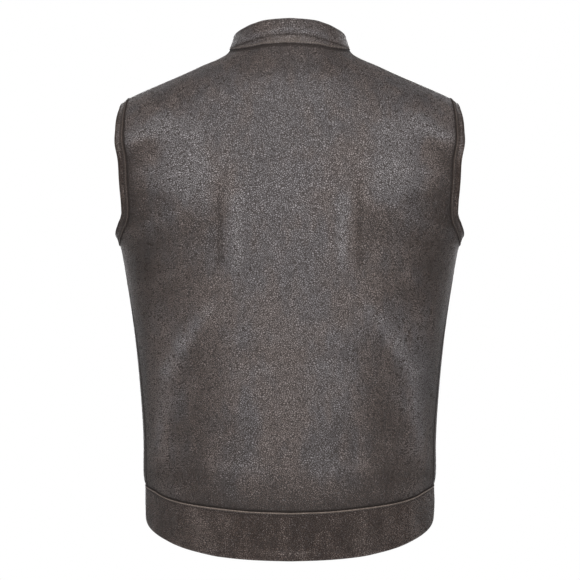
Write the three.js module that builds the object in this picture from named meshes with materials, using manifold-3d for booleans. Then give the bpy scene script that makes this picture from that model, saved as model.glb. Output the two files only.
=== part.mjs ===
// A men's leather vest, filled out as if worn: one-piece back, two fronts closed by a centre zip,
// a short stand collar, a band round the hem and a folded strip round each armhole.
// Millimetres. +Z up, the front faces -Y, and the wearer's left is at +X.
// The origin lies midway between the two points where the shoulders meet the neck.
import * as THREE from "three";
import Module from "manifold-3d";
import { mergeVertices } from "three/addons/utils/BufferGeometryUtils.js";

const wasm = await Module();
wasm.setup();

// Driving dimensions.
const PANEL_THICKNESS = 2.0; // one hide with its backing
const BAND_THICKNESS = 3.0; // hide folded double
const BAND_PROUD = 0.8; // how far the band stands out from the panel above it
const COLLAR_THICKNESS = 3.0;
const COLLAR_PROUD = 1.2;
const COLLAR_CORNER = 11; // rounding of the two front corners
const STRIP_WIDTH = 13; // the folded strip round the armhole
const STRIP_THICKNESS = 3.2;
const STRIP_PROUD = 0.7;
const STRIP_DROOP = 9; // degrees that the strip turns down at the shoulder
const STRIP_DROOP_REACH = 46; // height over which that fades
const SEAM_GAP = 0.3;
const NECK_GAP = 0.45; // the collar leans over its seam, so its gap is measured upwards
const FRONT_EDGE = 5.5; // from the centre line to the edge of each front, beside the zip
const TIP_Z = -64; // outer end of the shoulder seam
const UNDERARM_Z = -262;
const SHOULDER_ANGLE = 90;
const RADIAN = Math.PI / 180;

// Counts of the grids. The side and armhole rows are shared by back and front, so their edges match.
const BACK_COLUMNS = 28;
const FRONT_COLUMNS = 14;
const SIDE_ROWS = 14;
const ARMHOLE_ROWS = 16;
const SHOULDER_ROWS = 12;
const NECK_ROWS = 9;
const BAND_ROWS = 3;
const COLLAR_ROWS = 4;

// Level sections of the filled-out garment: half width, depth of the back and of the front,
// and the squareness of the oval, where 2 is an ellipse. Above the underarm the oval runs on
// over the arm, and the armhole is cut out of it.
const SECTIONS = [
  { z: 0, halfWidth: 79.5, back: 72, front: 24, square: 2.0 },
  { z: -6, halfWidth: 84.5, back: 75, front: 28, square: 2.0 },
  { z: -13, halfWidth: 96, back: 79, front: 33, square: 2.0 },
  { z: -22.5, halfWidth: 118.7, back: 83, front: 39, square: 2.0 },
  { z: -34, halfWidth: 144, back: 88, front: 47, square: 2.0 },
  { z: -50, halfWidth: 181.5, back: 94, front: 59, square: 2.0 },
  { z: -64, halfWidth: 212.5, back: 99, front: 71, square: 2.05 },
  { z: -78, halfWidth: 237, back: 103, front: 82, square: 2.1 },
  { z: -110, halfWidth: 278, back: 112, front: 102, square: 2.15 },
  { z: -135, halfWidth: 285, back: 119, front: 115, square: 2.2 },
  { z: -166, halfWidth: 280, back: 125, front: 126, square: 2.2 },
  { z: -216, halfWidth: 257, back: 129, front: 136, square: 2.2 },
  { z: -246, halfWidth: 236, back: 130, front: 139, square: 2.2 },
  { z: -262, halfWidth: 226, back: 130, front: 140, square: 2.2 },
  { z: -280, halfWidth: 222, back: 130, front: 140, square: 2.2 },
  { z: -307, halfWidth: 217.5, back: 128, front: 140, square: 2.2 },
  { z: -340, halfWidth: 212.2, back: 126, front: 139, square: 2.2 },
  { z: -388, halfWidth: 205.7, back: 124, front: 137, square: 2.2 },
  { z: -441, halfWidth: 200.3, back: 123, front: 136, square: 2.2 },
  { z: -494, halfWidth: 196.3, back: 124, front: 134, square: 2.15 },
  { z: -548, halfWidth: 193.6, back: 126, front: 133, square: 2.1 },
  { z: -582, halfWidth: 191.9, back: 127, front: 133, square: 2.1 },
  { z: -620, halfWidth: 191.4, back: 129, front: 132, square: 2.1 },
  { z: -665, halfWidth: 189, back: 129, front: 131, square: 2.1 },
];

// Distance of the armhole's edge from the centre plane, behind and in front.
const ARMHOLE = [
  { z: -64, back: 212.5, front: 212.5 },
  { z: -78, back: 213.7, front: 208 },
  { z: -100, back: 214.6, front: 203 },
  { z: -118, back: 214.2, front: 199 },
  { z: -131, back: 213.2, front: 197 },
  { z: -160, back: 210.1, front: 194 },
  { z: -192, back: 208.2, front: 195.5 },
  { z: -206, back: 207.6, front: 199 },
  { z: -223, back: 208, front: 204.5 },
  { z: -234, back: 211, front: 209 },
  { z: -243, back: 216.2, front: 214 },
  { z: -254, back: 221.8, front: 221 },
  { z: -262, back: 226, front: 226 },
];

// How far behind the middle plane the side seam lies.
const SIDE_SEAM = [
  { z: -262, behind: 0 },
  { z: -334, behind: 21 },
  { z: -414, behind: 31 },
  { z: -500, behind: 33 },
  { z: -600, behind: 34 },
];

// Heights of the band's upper seam and lower edge, by the angle from the centre back.
const HEM = [
  { angle: 0, seam: -600.4, bottom: -662 },
  { angle: 20, seam: -599.3, bottom: -661 },
  { angle: 38, seam: -596.4, bottom: -658.4 },
  { angle: 47, seam: -594.6, bottom: -655 },
  { angle: 55, seam: -592.6, bottom: -651.2 },
  { angle: 60, seam: -590.7, bottom: -648 },
  { angle: 65, seam: -588.3, bottom: -644 },
  { angle: 69, seam: -585.5, bottom: -640.8 },
  { angle: 73, seam: -582.2, bottom: -637.4 },
  { angle: 77, seam: -580.6, bottom: -633.8 },
  { angle: 81, seam: -579.8, bottom: -629.6 },
  { angle: 85, seam: -579.2, bottom: -624.8 },
  { angle: 92, seam: -578.6, bottom: -621 },
  { angle: 130, seam: -577, bottom: -617.5 },
  { angle: 180, seam: -575, bottom: -614 },
];

// The collar by the turn round the neck from the centre back: height of the neck seam, height of the
// collar along its own slope, and its lean inwards for each unit up.
const COLLAR = [
  { turn: 0, seam: -1.2, height: 34.2, lean: 0.12 },
  { turn: 28, seam: -2.6, height: 34, lean: 0.15 },
  { turn: 42, seam: -4.8, height: 33.2, lean: 0.2 },
  { turn: 54, seam: -5.2, height: 30.6, lean: 0.26 },
  { turn: 66, seam: -4, height: 27, lean: 0.31 },
  { turn: 78, seam: -1.8, height: 22.8, lean: 0.34 },
  { turn: 90, seam: 0, height: 19.6, lean: 0.36 },
  { turn: 110, seam: -19.4, height: 19, lean: 0.3 },
  { turn: 130, seam: -43.9, height: 20, lean: 0.25 },
  { turn: 150, seam: -64.7, height: 22.5, lean: 0.18 },
  { turn: 180, seam: -78, height: 24, lean: 0.1 },
];

// Soft folds on both halves of the garment, as ridges (height above 0) and troughs.
// Each runs from one point to another, given by its distance from the centre plane and height.
const BACK_FOLDS = [
  { fromX: 222, fromZ: -121, toX: 155, toZ: -100, spread: 11, height: 3.6 },
  { fromX: 155, fromZ: -100, toX: 112, toZ: -138, spread: 15, height: 2.4 },
  { fromX: 216, fromZ: -140, toX: 160, toZ: -124, spread: 11, height: -2.6 },
  { fromX: 165, fromZ: -160, toX: 125, toZ: -172, spread: 26, height: 3.4 },
  { fromX: 205, fromZ: -212, toX: 118, toZ: -205, spread: 15, height: -3.2 },
  { fromX: 95, fromZ: -192, toX: 97, toZ: -325, spread: 13, height: -3.4 },
  { fromX: 68, fromZ: -225, toX: 66, toZ: -292, spread: 13, height: 2.2 },
  { fromX: 196, fromZ: -292, toX: 165, toZ: -345, spread: 18, height: -3.0 },
  { fromX: 188, fromZ: -425, toX: 112, toZ: -335, spread: 19, height: 3.2 },
  { fromX: 160, fromZ: -470, toX: 112, toZ: -392, spread: 22, height: -2.8 },
];
const FRONT_FOLDS = [
  { fromX: 200, fromZ: -150, toX: 120, toZ: -128, spread: 14, height: 3.0 },
  { fromX: 196, fromZ: -176, toX: 128, toZ: -160, spread: 14, height: -2.6 },
  { fromX: 205, fromZ: -285, toX: 120, toZ: -240, spread: 18, height: 2.8 },
  { fromX: 190, fromZ: -330, toX: 110, toZ: -300, spread: 20, height: -2.8 },
  { fromX: 92, fromZ: -330, toX: 84, toZ: -500, spread: 19, height: 2.6 },
  { fromX: 178, fromZ: -455, toX: 120, toZ: -380, spread: 20, height: -2.6 },
];

// Zip.
const TAPE_HALF_WIDTH = 18;
const TAPE_THICKNESS = 0.9;
const TAPE_DEPTH = 3.3; // from the outer face of the fronts to the middle of the tape
const CHAIN_HALF_WIDTH = 3.1;
const CHAIN_THICKNESS = 3.2;
const CHAIN_SPLIT = 0.15;
const CHAIN_TOP_Z = -83;
const ZIP_ROWS = 26;

// Slider and pull tab, in a frame at the top of the chain.
const PLATE_THICKNESS = 1.2;
const PLATE_CLEARANCE = 0.3;
const PLATE_HALF_WIDTH = 4.5;
const PLATE_FOOT_HALF_WIDTH = 3.6;
const PLATE_TOP = 2.6;
const PLATE_BOTTOM = -11;
const POST_BOTTOM = 0.4;
const POST_HALF_WIDTH = 1.6;
const PIVOT_UP = -4; // the pivot's place along the zip, from the top of the chain
const PIVOT_OUT = 1.1; // and in front of the slider's face
const BAIL_HALF_SPAN = 3.7;
const BAIL_HALF_WIDTH = 0.9;
const BAIL_BAR = 1.0;
const BAIL_OPENING = 2.2;
const TAB_LENGTH = 27;
const TAB_HALF_WIDTH = 3.5;
const TAB_THICKNESS = 1.2;
const TAB_EYE_HALF_WIDTH = 1.7;
const TAB_EYE_LENGTH = 7.2;

const HIDE = new THREE.MeshStandardMaterial({ color: 0x57504d, roughness: 0.55, metalness: 0 });
const HIDE_DARK = new THREE.MeshStandardMaterial({ color: 0x47413e, roughness: 0.55, metalness: 0 });
const TAPE = new THREE.MeshStandardMaterial({ color: 0x1c1a19, roughness: 0.9, metalness: 0 });
const METAL = new THREE.MeshStandardMaterial({ color: 0x6b6358, roughness: 0.35, metalness: 1 });

const lerp = THREE.MathUtils.lerp;
const hole = new THREE.Vector3();

// A smooth curve through one column of a table, with no overshoot (monotone cubic), straight past its ends.
function curve(table, key, column) {
  const rows = [...table].sort((a, b) => a[key] - b[key]);
  const at = rows.map((row) => row[key]);
  const value = rows.map((row) => row[column]);
  const last = at.length - 1;
  const slope = at.slice(1).map((end, i) => (value[i + 1] - value[i]) / (end - at[i]));
  const tangent = at.map((_, i) => {
    if (i === 0) return slope[0];
    if (i === last) return slope[last - 1];
    const [before, after] = [slope[i - 1], slope[i]];
    return before * after <= 0 ? 0 : (2 * before * after) / (before + after);
  });
  return (s) => {
    if (s <= at[0]) return value[0] + tangent[0] * (s - at[0]);
    if (s >= at[last]) return value[last] + tangent[last] * (s - at[last]);
    const i = at.findIndex((end) => end > s) - 1;
    const span = at[i + 1] - at[i];
    const t = (s - at[i]) / span;
    const rise = t * t * (3 - 2 * t);
    const early = t * (1 - t) * (1 - t) * span * tangent[i];
    const late = t * t * (t - 1) * span * tangent[i + 1];
    return lerp(value[i], value[i + 1], rise) + early + late;
  };
}

const halfWidth = curve(SECTIONS, "z", "halfWidth");
const backDepth = curve(SECTIONS, "z", "back");
const frontDepth = curve(SECTIONS, "z", "front");
const squareness = curve(SECTIONS, "z", "square");
const armholeBack = curve(ARMHOLE, "z", "back");
const armholeFront = curve(ARMHOLE, "z", "front");
const seamBehind = curve(SIDE_SEAM, "z", "behind");
const hemSeam = curve(HEM, "angle", "seam");
const hemBottom = curve(HEM, "angle", "bottom");
const neckSeam = curve(COLLAR, "turn", "seam");
const collarHeight = curve(COLLAR, "turn", "height");
const collarLean = curve(COLLAR, "turn", "lean");

// A point of the plain form. The angle goes from 0 at the centre back to 180 at the centre front.
function plainPoint(angle, z) {
  const [s, c] = [Math.sin(angle * RADIAN), Math.cos(angle * RADIAN)];
  const n = squareness(z);
  const depth = c > 0 ? backDepth(z) : frontDepth(z);
  const across = Math.abs(s) / halfWidth(z);
  const along = Math.abs(c) / depth;
  const radius = (across ** n + along ** n) ** (-1 / n);
  return new THREE.Vector3(radius * s, radius * c, z);
}

// The outward normal of a surface given as a function of angle and height.
function normalOf(surface, angle, z) {
  const [turn, rise] = [0.25, 0.5];
  const around = surface(angle + turn, z).sub(surface(angle - turn, z));
  const up = surface(angle, z + rise).sub(surface(angle, z - rise));
  return up.cross(around).normalize();
}

// Sum of the soft folds at a place: each is a bell across a straight run and fades past its ends.
function foldHeight(folds, x, z) {
  let sum = 0;
  for (const fold of folds) {
    const run = [fold.toX - fold.fromX, fold.toZ - fold.fromZ];
    const length = Math.hypot(run[0], run[1]);
    const offset = [x - fold.fromX, z - fold.fromZ];
    const along = (offset[0] * run[0] + offset[1] * run[1]) / length;
    const across = (offset[0] * run[1] - offset[1] * run[0]) / length;
    const beyond = Math.max(0, -along, along - length);
    const distance = Math.hypot(across, beyond) / fold.spread;
    sum += fold.height * Math.exp(-distance * distance);
  }
  return sum;
}

// The outer face of the garment, folds included.
function skinPoint(angle, z) {
  const point = plainPoint(angle, z);
  const folds = Math.abs(angle) < SHOULDER_ANGLE ? BACK_FOLDS : FRONT_FOLDS;
  const meeting = Math.min(1, Math.abs(point.y) / 30); // folds of back and front fade where they meet
  const height = foldHeight(folds, Math.abs(point.x), z) * meeting;
  return point.addScaledVector(normalOf(plainPoint, angle, z), height);
}

// A point lifted off the outer face along its normal; a negative lift lies inside the wall.
function wallPoint(angle, z, lift) {
  return skinPoint(angle, z).addScaledVector(normalOf(skinPoint, angle, z), lift);
}

// The angle at which the form is that far from the centre plane, behind or in front.
function angleAt(x, z, behind) {
  const n = squareness(z);
  const share = Math.max(0, 1 - (x / halfWidth(z)) ** n);
  const y = (behind ? backDepth(z) : -frontDepth(z)) * share ** (1 / n);
  return Math.atan2(x, y) / RADIAN;
}

// The angle of the side seam, which lies a little behind the middle plane.
function sideAngle(z) {
  const n = squareness(z);
  const y = seamBehind(z);
  const x = halfWidth(z) * (1 - (y / backDepth(z)) ** n) ** (1 / n);
  return Math.atan2(x, y) / RADIAN;
}

// The neck seam: nearly level behind, and dropping to the centre front.
function neckPlace(turn) {
  const z = neckSeam(turn);
  if (turn <= 90) return { angle: turn, z };
  return { angle: angleAt(halfWidth(0) * Math.sin(turn * RADIAN), z, false), z };
}

// The seams' gap as an angle, and the angle of the front edge beside the zip.
const gapAngle = (z) => SEAM_GAP / 2 / halfWidth(z) / RADIAN;
const frontEdgeAngle = (z) => angleAt(FRONT_EDGE, z, false);

// Heights of the rows down the armhole, close together where the edge turns over and under.
function armholeHeight(row) {
  const middle = (TIP_Z + UNDERARM_Z) / 2;
  const reach = (TIP_Z - UNDERARM_Z) / 2;
  return middle - reach * Math.cos((Math.PI * row) / ARMHOLE_ROWS);
}

// How far the cosine spacing of a row beside the armhole lifts it off even spacing. It is felt
// only near the edge, so that the rows run evenly over the middle of the panel.
function edgeLift(row, share) {
  if (row < SIDE_ROWS) return 0;
  const even = lerp(UNDERARM_Z, TIP_Z, (row - SIDE_ROWS) / ARMHOLE_ROWS);
  return (armholeHeight(row - SIDE_ROWS) - even) * (share ** 6 - 1);
}

// The place on the side and armhole edge for one row, from the hem seam up to the shoulder tip.
function sideEdge(row, behind) {
  if (row < SIDE_ROWS) {
    const foot = hemSeam(sideAngle(UNDERARM_Z - 320)) + SEAM_GAP / 2;
    const z = lerp(foot, UNDERARM_Z, row / SIDE_ROWS);
    return { angle: sideAngle(z) + (behind ? -1 : 1) * gapAngle(z), z };
  }
  const z = armholeHeight(row - SIDE_ROWS);
  const x = (behind ? armholeBack : armholeFront)(z);
  const angle = angleAt(x, z, behind);
  const limit = SHOULDER_ANGLE + (behind ? -1 : 1) * gapAngle(z);
  return { angle: behind ? Math.min(angle, limit) : Math.max(angle, limit), z };
}

// Joins two matching grids of points, an outer and an inner one, into one closed wall.
function wallGeometry(outer, inner) {
  const rows = outer.length;
  const columns = outer[0].length;
  const points = [...outer.flat(), ...inner.flat()];
  const outerAt = (r, c) => r * columns + c;
  const innerAt = (r, c) => rows * columns + r * columns + c;
  const faces = [];
  const quad = (a, b, c, d) => faces.push(a, c, b, a, d, c);
  for (let r = 0; r + 1 < rows; r++) {
    for (let c = 0; c + 1 < columns; c++) {
      quad(outerAt(r, c), outerAt(r, c + 1), outerAt(r + 1, c + 1), outerAt(r + 1, c));
      quad(innerAt(r, c), innerAt(r + 1, c), innerAt(r + 1, c + 1), innerAt(r, c + 1));
    }
    quad(outerAt(r, 0), outerAt(r + 1, 0), innerAt(r + 1, 0), innerAt(r, 0));
    quad(outerAt(r + 1, columns - 1), outerAt(r, columns - 1), innerAt(r, columns - 1), innerAt(r + 1, columns - 1));
  }
  for (let c = 0; c + 1 < columns; c++) {
    quad(outerAt(0, c + 1), outerAt(0, c), innerAt(0, c), innerAt(0, c + 1));
    quad(outerAt(rows - 1, c), outerAt(rows - 1, c + 1), innerAt(rows - 1, c + 1), innerAt(rows - 1, c));
  }
  const positions = new Float32Array(points.flatMap((p) => [p.x, p.y, p.z]));
  return new THREE.BufferGeometry()
    .setAttribute("position", new THREE.BufferAttribute(positions, 3))
    .setIndex(faces);
}

// A wall whose grid is given as places on the garment. Places run towards rising angles in each row.
function placedWall(places, lift, thickness) {
  const at = (depth) => places.map((row) => row.map((p) => wallPoint(p.angle, p.z, depth)));
  return wallGeometry(at(lift), at(lift - thickness));
}

// The same geometry on the other side of the centre plane.
function mirrored(geometry) {
  const other = geometry.clone().scale(-1, 1, 1);
  const index = other.index.array;
  for (let i = 0; i < index.length; i += 3) [index[i + 1], index[i + 2]] = [index[i + 2], index[i + 1]];
  return other;
}

function named(name, geometry, material) {
  const mesh = new THREE.Mesh(geometry, material);
  mesh.name = name;
  geometry.computeVertexNormals();
  return mesh;
}

// One-piece back, from the hem seam to the neck and shoulder seams.
function backPanel() {
  const rows = [];
  const shares = Array.from({ length: BACK_COLUMNS + 1 }, (_, i) => (2 * i) / BACK_COLUMNS - 1);
  for (let row = 0; row <= SIDE_ROWS + ARMHOLE_ROWS + SHOULDER_ROWS; row++) {
    const overArmhole = row - SIDE_ROWS - ARMHOLE_ROWS;
    const shoulder = overArmhole / SHOULDER_ROWS;
    const edge =
      overArmhole > 0
        ? { angle: SHOULDER_ANGLE - gapAngle(TIP_Z * (1 - shoulder)) }
        : sideEdge(row, true);
    const climb = Math.min(1, row / SIDE_ROWS);
    rows.push(
      shares.map((share) => {
        const angle = share * edge.angle;
        const foot = hemSeam(Math.abs(angle)) + SEAM_GAP / 2;
        if (overArmhole > 0) return { angle, z: lerp(TIP_Z, neckSeam(Math.abs(angle)), shoulder) };
        const lift = edgeLift(row, Math.abs(share));
        return { angle, z: row < SIDE_ROWS ? lerp(foot, UNDERARM_Z, climb) : edge.z + lift };
      }),
    );
  }
  return placedWall(rows, 0, PANEL_THICKNESS);
}

// The wearer's left front: its rows run from the side and armhole to the zip and the neck.
function frontPanel() {
  const top = SIDE_ROWS + ARMHOLE_ROWS;
  const zipRows = top - NECK_ROWS;
  const rows = [];
  for (let row = 0; row <= top; row++) {
    const side = sideEdge(row, false);
    const centre = { z: lerp(hemSeam(180) + SEAM_GAP / 2, neckSeam(180), Math.min(1, row / zipRows)) };
    centre.angle = frontEdgeAngle(centre.z);
    if (row >= zipRows) {
      const turn = lerp(neckFrontTurn, 90, (row - zipRows) / NECK_ROWS);
      Object.assign(centre, neckPlace(turn));
    }
    if (row === top) centre.angle = SHOULDER_ANGLE + gapAngle(0);
    rows.push(
      Array.from({ length: FRONT_COLUMNS + 1 }, (_, i) => {
        const share = i / FRONT_COLUMNS;
        const angle = lerp(side.angle, centre.angle, share);
        const foot = hemSeam(angle) + SEAM_GAP / 2;
        const flat = lerp(side.z, centre.z, share) + edgeLift(row, 1 - share) * (1 - share);
        return { angle, z: row === 0 ? foot : flat };
      }),
    );
  }
  return placedWall(rows, 0, PANEL_THICKNESS);
}

// The turn round the neck at which the front edge beside the zip is reached.
const neckFrontTurn = 180 - Math.asin(FRONT_EDGE / halfWidth(0)) / RADIAN;

// A stretch of the band between two angles, from the hem seam down to the lower edge.
function bandPanel(fromAngle, toAngle, columns) {
  const rows = Array.from({ length: BAND_ROWS + 1 }, (_, row) =>
    Array.from({ length: columns + 1 }, (_, i) => {
      const seam = hemSeam(0) + 20;
      const angle = lerp(fromAngle(seam), toAngle(seam), i / columns);
      const top = hemSeam(Math.abs(angle)) - SEAM_GAP / 2;
      return { angle, z: lerp(hemBottom(Math.abs(angle)), top, row / BAND_ROWS) };
    }),
  );
  return placedWall(rows, BAND_PROUD, BAND_THICKNESS);
}

// Stand collar, one wall from front edge to front edge round the back of the neck.
function collar() {
  const backTurns = Array.from({ length: BACK_COLUMNS / 2 + 1 }, (_, i) => (180 * i) / BACK_COLUMNS);
  const frontTurns = Array.from({ length: NECK_ROWS }, (_, i) =>
    lerp(90, neckFrontTurn, (i + 1) / NECK_ROWS),
  );
  const half = [...backTurns, ...frontTurns];
  const turns = [...half.slice(1).reverse().map((turn) => -turn), ...half];
  const seam = half.map((turn) => {
    const place = neckPlace(turn);
    return skinPoint(place.angle, place.z);
  });
  const lengthTo = half.map((_, i) =>
    seam.slice(1, i + 1).reduce((sum, point, j) => sum + point.distanceTo(seam[j]), 0),
  );
  const station = (turn) => {
    const i = half.findIndex((value) => Math.abs(value - Math.abs(turn)) < 1e-6);
    const toEnd = lengthTo[half.length - 1] - lengthTo[i];
    const short = Math.max(0, 1 - toEnd / COLLAR_CORNER);
    const corner = COLLAR_CORNER * (1 - Math.sqrt(1 - short * short * 0.96));
    const foot = seam[i].clone();
    foot.x *= Math.sign(turn) || 1;
    const outward = new THREE.Vector3(foot.x, foot.y, 0).normalize();
    const lean = collarLean(Math.abs(turn));
    const up = new THREE.Vector3(0, 0, 1).addScaledVector(outward, -lean).normalize();
    const face = outward.clone().addScaledVector(up, -outward.dot(up)).normalize();
    return { foot, up, face, height: collarHeight(Math.abs(turn)) - corner };
  };
  const stations = turns.map(station);
  const face = (lift) =>
    Array.from({ length: COLLAR_ROWS + 1 }, (_, row) =>
      stations.map(({ foot, up, face, height }) =>
        foot
          .clone()
          .addScaledVector(up, NECK_GAP + (height - NECK_GAP) * (row / COLLAR_ROWS))
          .addScaledVector(face, lift),
      ),
    );
  return wallGeometry(face(COLLAR_PROUD), face(COLLAR_PROUD - COLLAR_THICKNESS));
}

// Sweeps a closed section along stations, each with its own frame, and caps both ends.
function sweptSolid(stations, section) {
  const count = section.length;
  const points = stations.flatMap(({ centre, across, out }) =>
    section.map(([a, b]) => centre.clone().addScaledVector(across, a).addScaledVector(out, b)),
  );
  const faces = [];
  for (let s = 0; s + 1 < stations.length; s++) {
    for (let i = 0; i < count; i++) {
      const [a, b] = [s * count + i, s * count + ((i + 1) % count)];
      faces.push(a, b, b + count, a, b + count, a + count);
    }
  }
  const caps = THREE.ShapeUtils.triangulateShape(section.map(([a, b]) => new THREE.Vector2(a, b)), []);
  const end = (stations.length - 1) * count;
  for (const [a, b, c] of caps) faces.push(a, c, b, end + a, end + b, end + c);
  const positions = new Float32Array(points.flatMap((p) => [p.x, p.y, p.z]));
  return new THREE.BufferGeometry()
    .setAttribute("position", new THREE.BufferAttribute(positions, 3))
    .setIndex(faces);
}

// Folded strip round the left armhole. Its two ends meet under the arm.
function armholeStrip() {
  const back = Array.from({ length: ARMHOLE_ROWS + 1 }, (_, i) => sideEdge(SIDE_ROWS + i, true));
  const front = Array.from({ length: ARMHOLE_ROWS + 1 }, (_, i) => sideEdge(SIDE_ROWS + i, false));
  front.pop(); // the tip is already there
  const places = [...back, ...front.reverse()];
  const edge = places.map((p) => skinPoint(p.angle, p.z));
  const last = edge.length - 1;
  const stations = places.map((p, i) => {
    const before = edge[i === 0 ? last - 1 : i - 1];
    const after = edge[i === last ? 1 : i + 1];
    const run = after.clone().sub(before).normalize();
    const out = normalOf(skinPoint, p.angle, p.z);
    const across = run.clone().cross(out).normalize();
    hole.set(edge[i].x + 20, 0, (TIP_Z + UNDERARM_Z) / 2).sub(edge[i]);
    if (across.dot(hole) < 0) across.negate();
    const droop = Math.max(0, 1 - (TIP_Z - p.z) / STRIP_DROOP_REACH) * STRIP_DROOP * RADIAN;
    const flat = across.clone();
    across.multiplyScalar(Math.cos(droop)).addScaledVector(out, -Math.sin(droop));
    out.multiplyScalar(Math.cos(droop)).addScaledVector(flat, Math.sin(droop));
    const centre = edge[i]
      .clone()
      .addScaledVector(across, SEAM_GAP + STRIP_WIDTH / 2)
      .addScaledVector(out, STRIP_PROUD - STRIP_THICKNESS / 2);
    return { centre, across, out, run };
  });
  stations[0].centre.addScaledVector(stations[0].run, SEAM_GAP / 2);
  stations[last].centre.addScaledVector(stations[last].run, -SEAM_GAP / 2);
  const [w, t, r] = [STRIP_WIDTH / 2, STRIP_THICKNESS / 2, STRIP_THICKNESS / 3];
  const section = [
    [-w, -t],
    [w - r, -t],
    [w, -t + r],
    [w, t - r],
    [w - r, t],
    [-w + r, t],
    [-w, t - r],
  ];
  return sweptSolid(stations, section);
}

// Frames down the centre front, on the outer face of the closed fronts.
function zipStation(z) {
  const centre = plainPoint(180, z);
  const up = plainPoint(180, z + 1).sub(plainPoint(180, z - 1)).normalize();
  const across = new THREE.Vector3(1, 0, 0);
  const out = up.clone().cross(across).negate().normalize();
  if (out.y > 0) out.negate();
  return { centre, up, across, out };
}

// The zip's frames from the top of the chain to the lower edge of the band, at half the depth of the tape.
const zipStations = Array.from({ length: ZIP_ROWS + 1 }, (_, i) => {
  const station = zipStation(lerp(CHAIN_TOP_Z, hemBottom(180) + 1, i / ZIP_ROWS));
  station.centre.addScaledVector(station.out, -TAPE_DEPTH);
  return station;
});

// Half of the zip: the tape behind the front and its row of teeth as one raised edge.
function zipSide() {
  const [chain, tape] = [CHAIN_THICKNESS / 2, TAPE_THICKNESS / 2];
  const section = [
    [CHAIN_SPLIT, -chain],
    [CHAIN_HALF_WIDTH, -chain],
    [CHAIN_HALF_WIDTH, -tape],
    [TAPE_HALF_WIDTH, -tape],
    [TAPE_HALF_WIDTH, tape],
    [CHAIN_HALF_WIDTH, tape],
    [CHAIN_HALF_WIDTH, chain],
    [CHAIN_SPLIT, chain],
  ];
  return sweptSolid(zipStations, section);
}

// Boolean joins of closed geometries.
function solid(geometry) {
  const plain = new THREE.BufferGeometry().setAttribute("position", geometry.getAttribute("position"));
  if (geometry.index) plain.setIndex(geometry.index);
  const merged = mergeVertices(plain, 1e-4);
  return new wasm.Manifold(
    new wasm.Mesh({
      numProp: 3,
      vertProperties: new Float32Array(merged.attributes.position.array),
      triVerts: new Uint32Array(merged.index.array),
    }),
  );
}

function joined(geometries) {
  const mesh = geometries.map(solid).reduce((sum, next) => sum.add(next)).getMesh();
  return new THREE.BufferGeometry()
    .setAttribute("position", new THREE.BufferAttribute(new Float32Array(mesh.vertProperties), 3))
    .setIndex([...mesh.triVerts]);
}

const block = (wide, high, deep, x, y, z) => new THREE.BoxGeometry(wide, high, deep).translate(x, y, z);

// The slider's outline: broad shoulders and a narrower foot.
function sliderOutline() {
  const shape = new THREE.Shape();
  shape.moveTo(-PLATE_FOOT_HALF_WIDTH, PLATE_BOTTOM);
  shape.lineTo(PLATE_FOOT_HALF_WIDTH, PLATE_BOTTOM);
  shape.quadraticCurveTo(PLATE_HALF_WIDTH, PLATE_BOTTOM / 2, PLATE_HALF_WIDTH, 0);
  shape.quadraticCurveTo(PLATE_HALF_WIDTH, PLATE_TOP, 0, PLATE_TOP);
  shape.quadraticCurveTo(-PLATE_HALF_WIDTH, PLATE_TOP, -PLATE_HALF_WIDTH, 0);
  shape.quadraticCurveTo(-PLATE_HALF_WIDTH, PLATE_BOTTOM / 2, -PLATE_FOOT_HALF_WIDTH, PLATE_BOTTOM);
  return shape;
}

const plateInner = CHAIN_THICKNESS / 2 + PLATE_CLEARANCE;
const plateFace = plateInner + PLATE_THICKNESS;
const pivotHeight = plateFace + PIVOT_OUT;

// Slider: two plates, the post between them and the bail that holds the pull tab.
function slider() {
  const plate = (from) =>
    new THREE.ExtrudeGeometry(sliderOutline(), { depth: PLATE_THICKNESS, bevelEnabled: false, curveSegments: 5 })
      .translate(0, 0, from);
  const postHeight = PLATE_TOP - 0.6 - POST_BOTTOM;
  const post = block(2 * POST_HALF_WIDTH, postHeight, 2 * plateInner + 0.4, 0, POST_BOTTOM + postHeight / 2, 0);
  const legAt = BAIL_HALF_SPAN - BAIL_BAR / 2;
  const legHeight = BAIL_OPENING + BAIL_BAR + 0.2;
  const legCentre = plateFace - 0.2 + legHeight / 2;
  const legs = [-legAt, legAt].map((along) =>
    block(2 * BAIL_HALF_WIDTH, BAIL_BAR, legHeight, 0, PIVOT_UP + along, legCentre),
  );
  const bridge = block(
    2 * BAIL_HALF_WIDTH, 2 * BAIL_HALF_SPAN, BAIL_BAR, 0, PIVOT_UP, plateFace + BAIL_OPENING + BAIL_BAR / 2,
  );
  return joined([plate(plateInner), plate(-plateFace), post, ...legs, bridge]);
}

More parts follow.
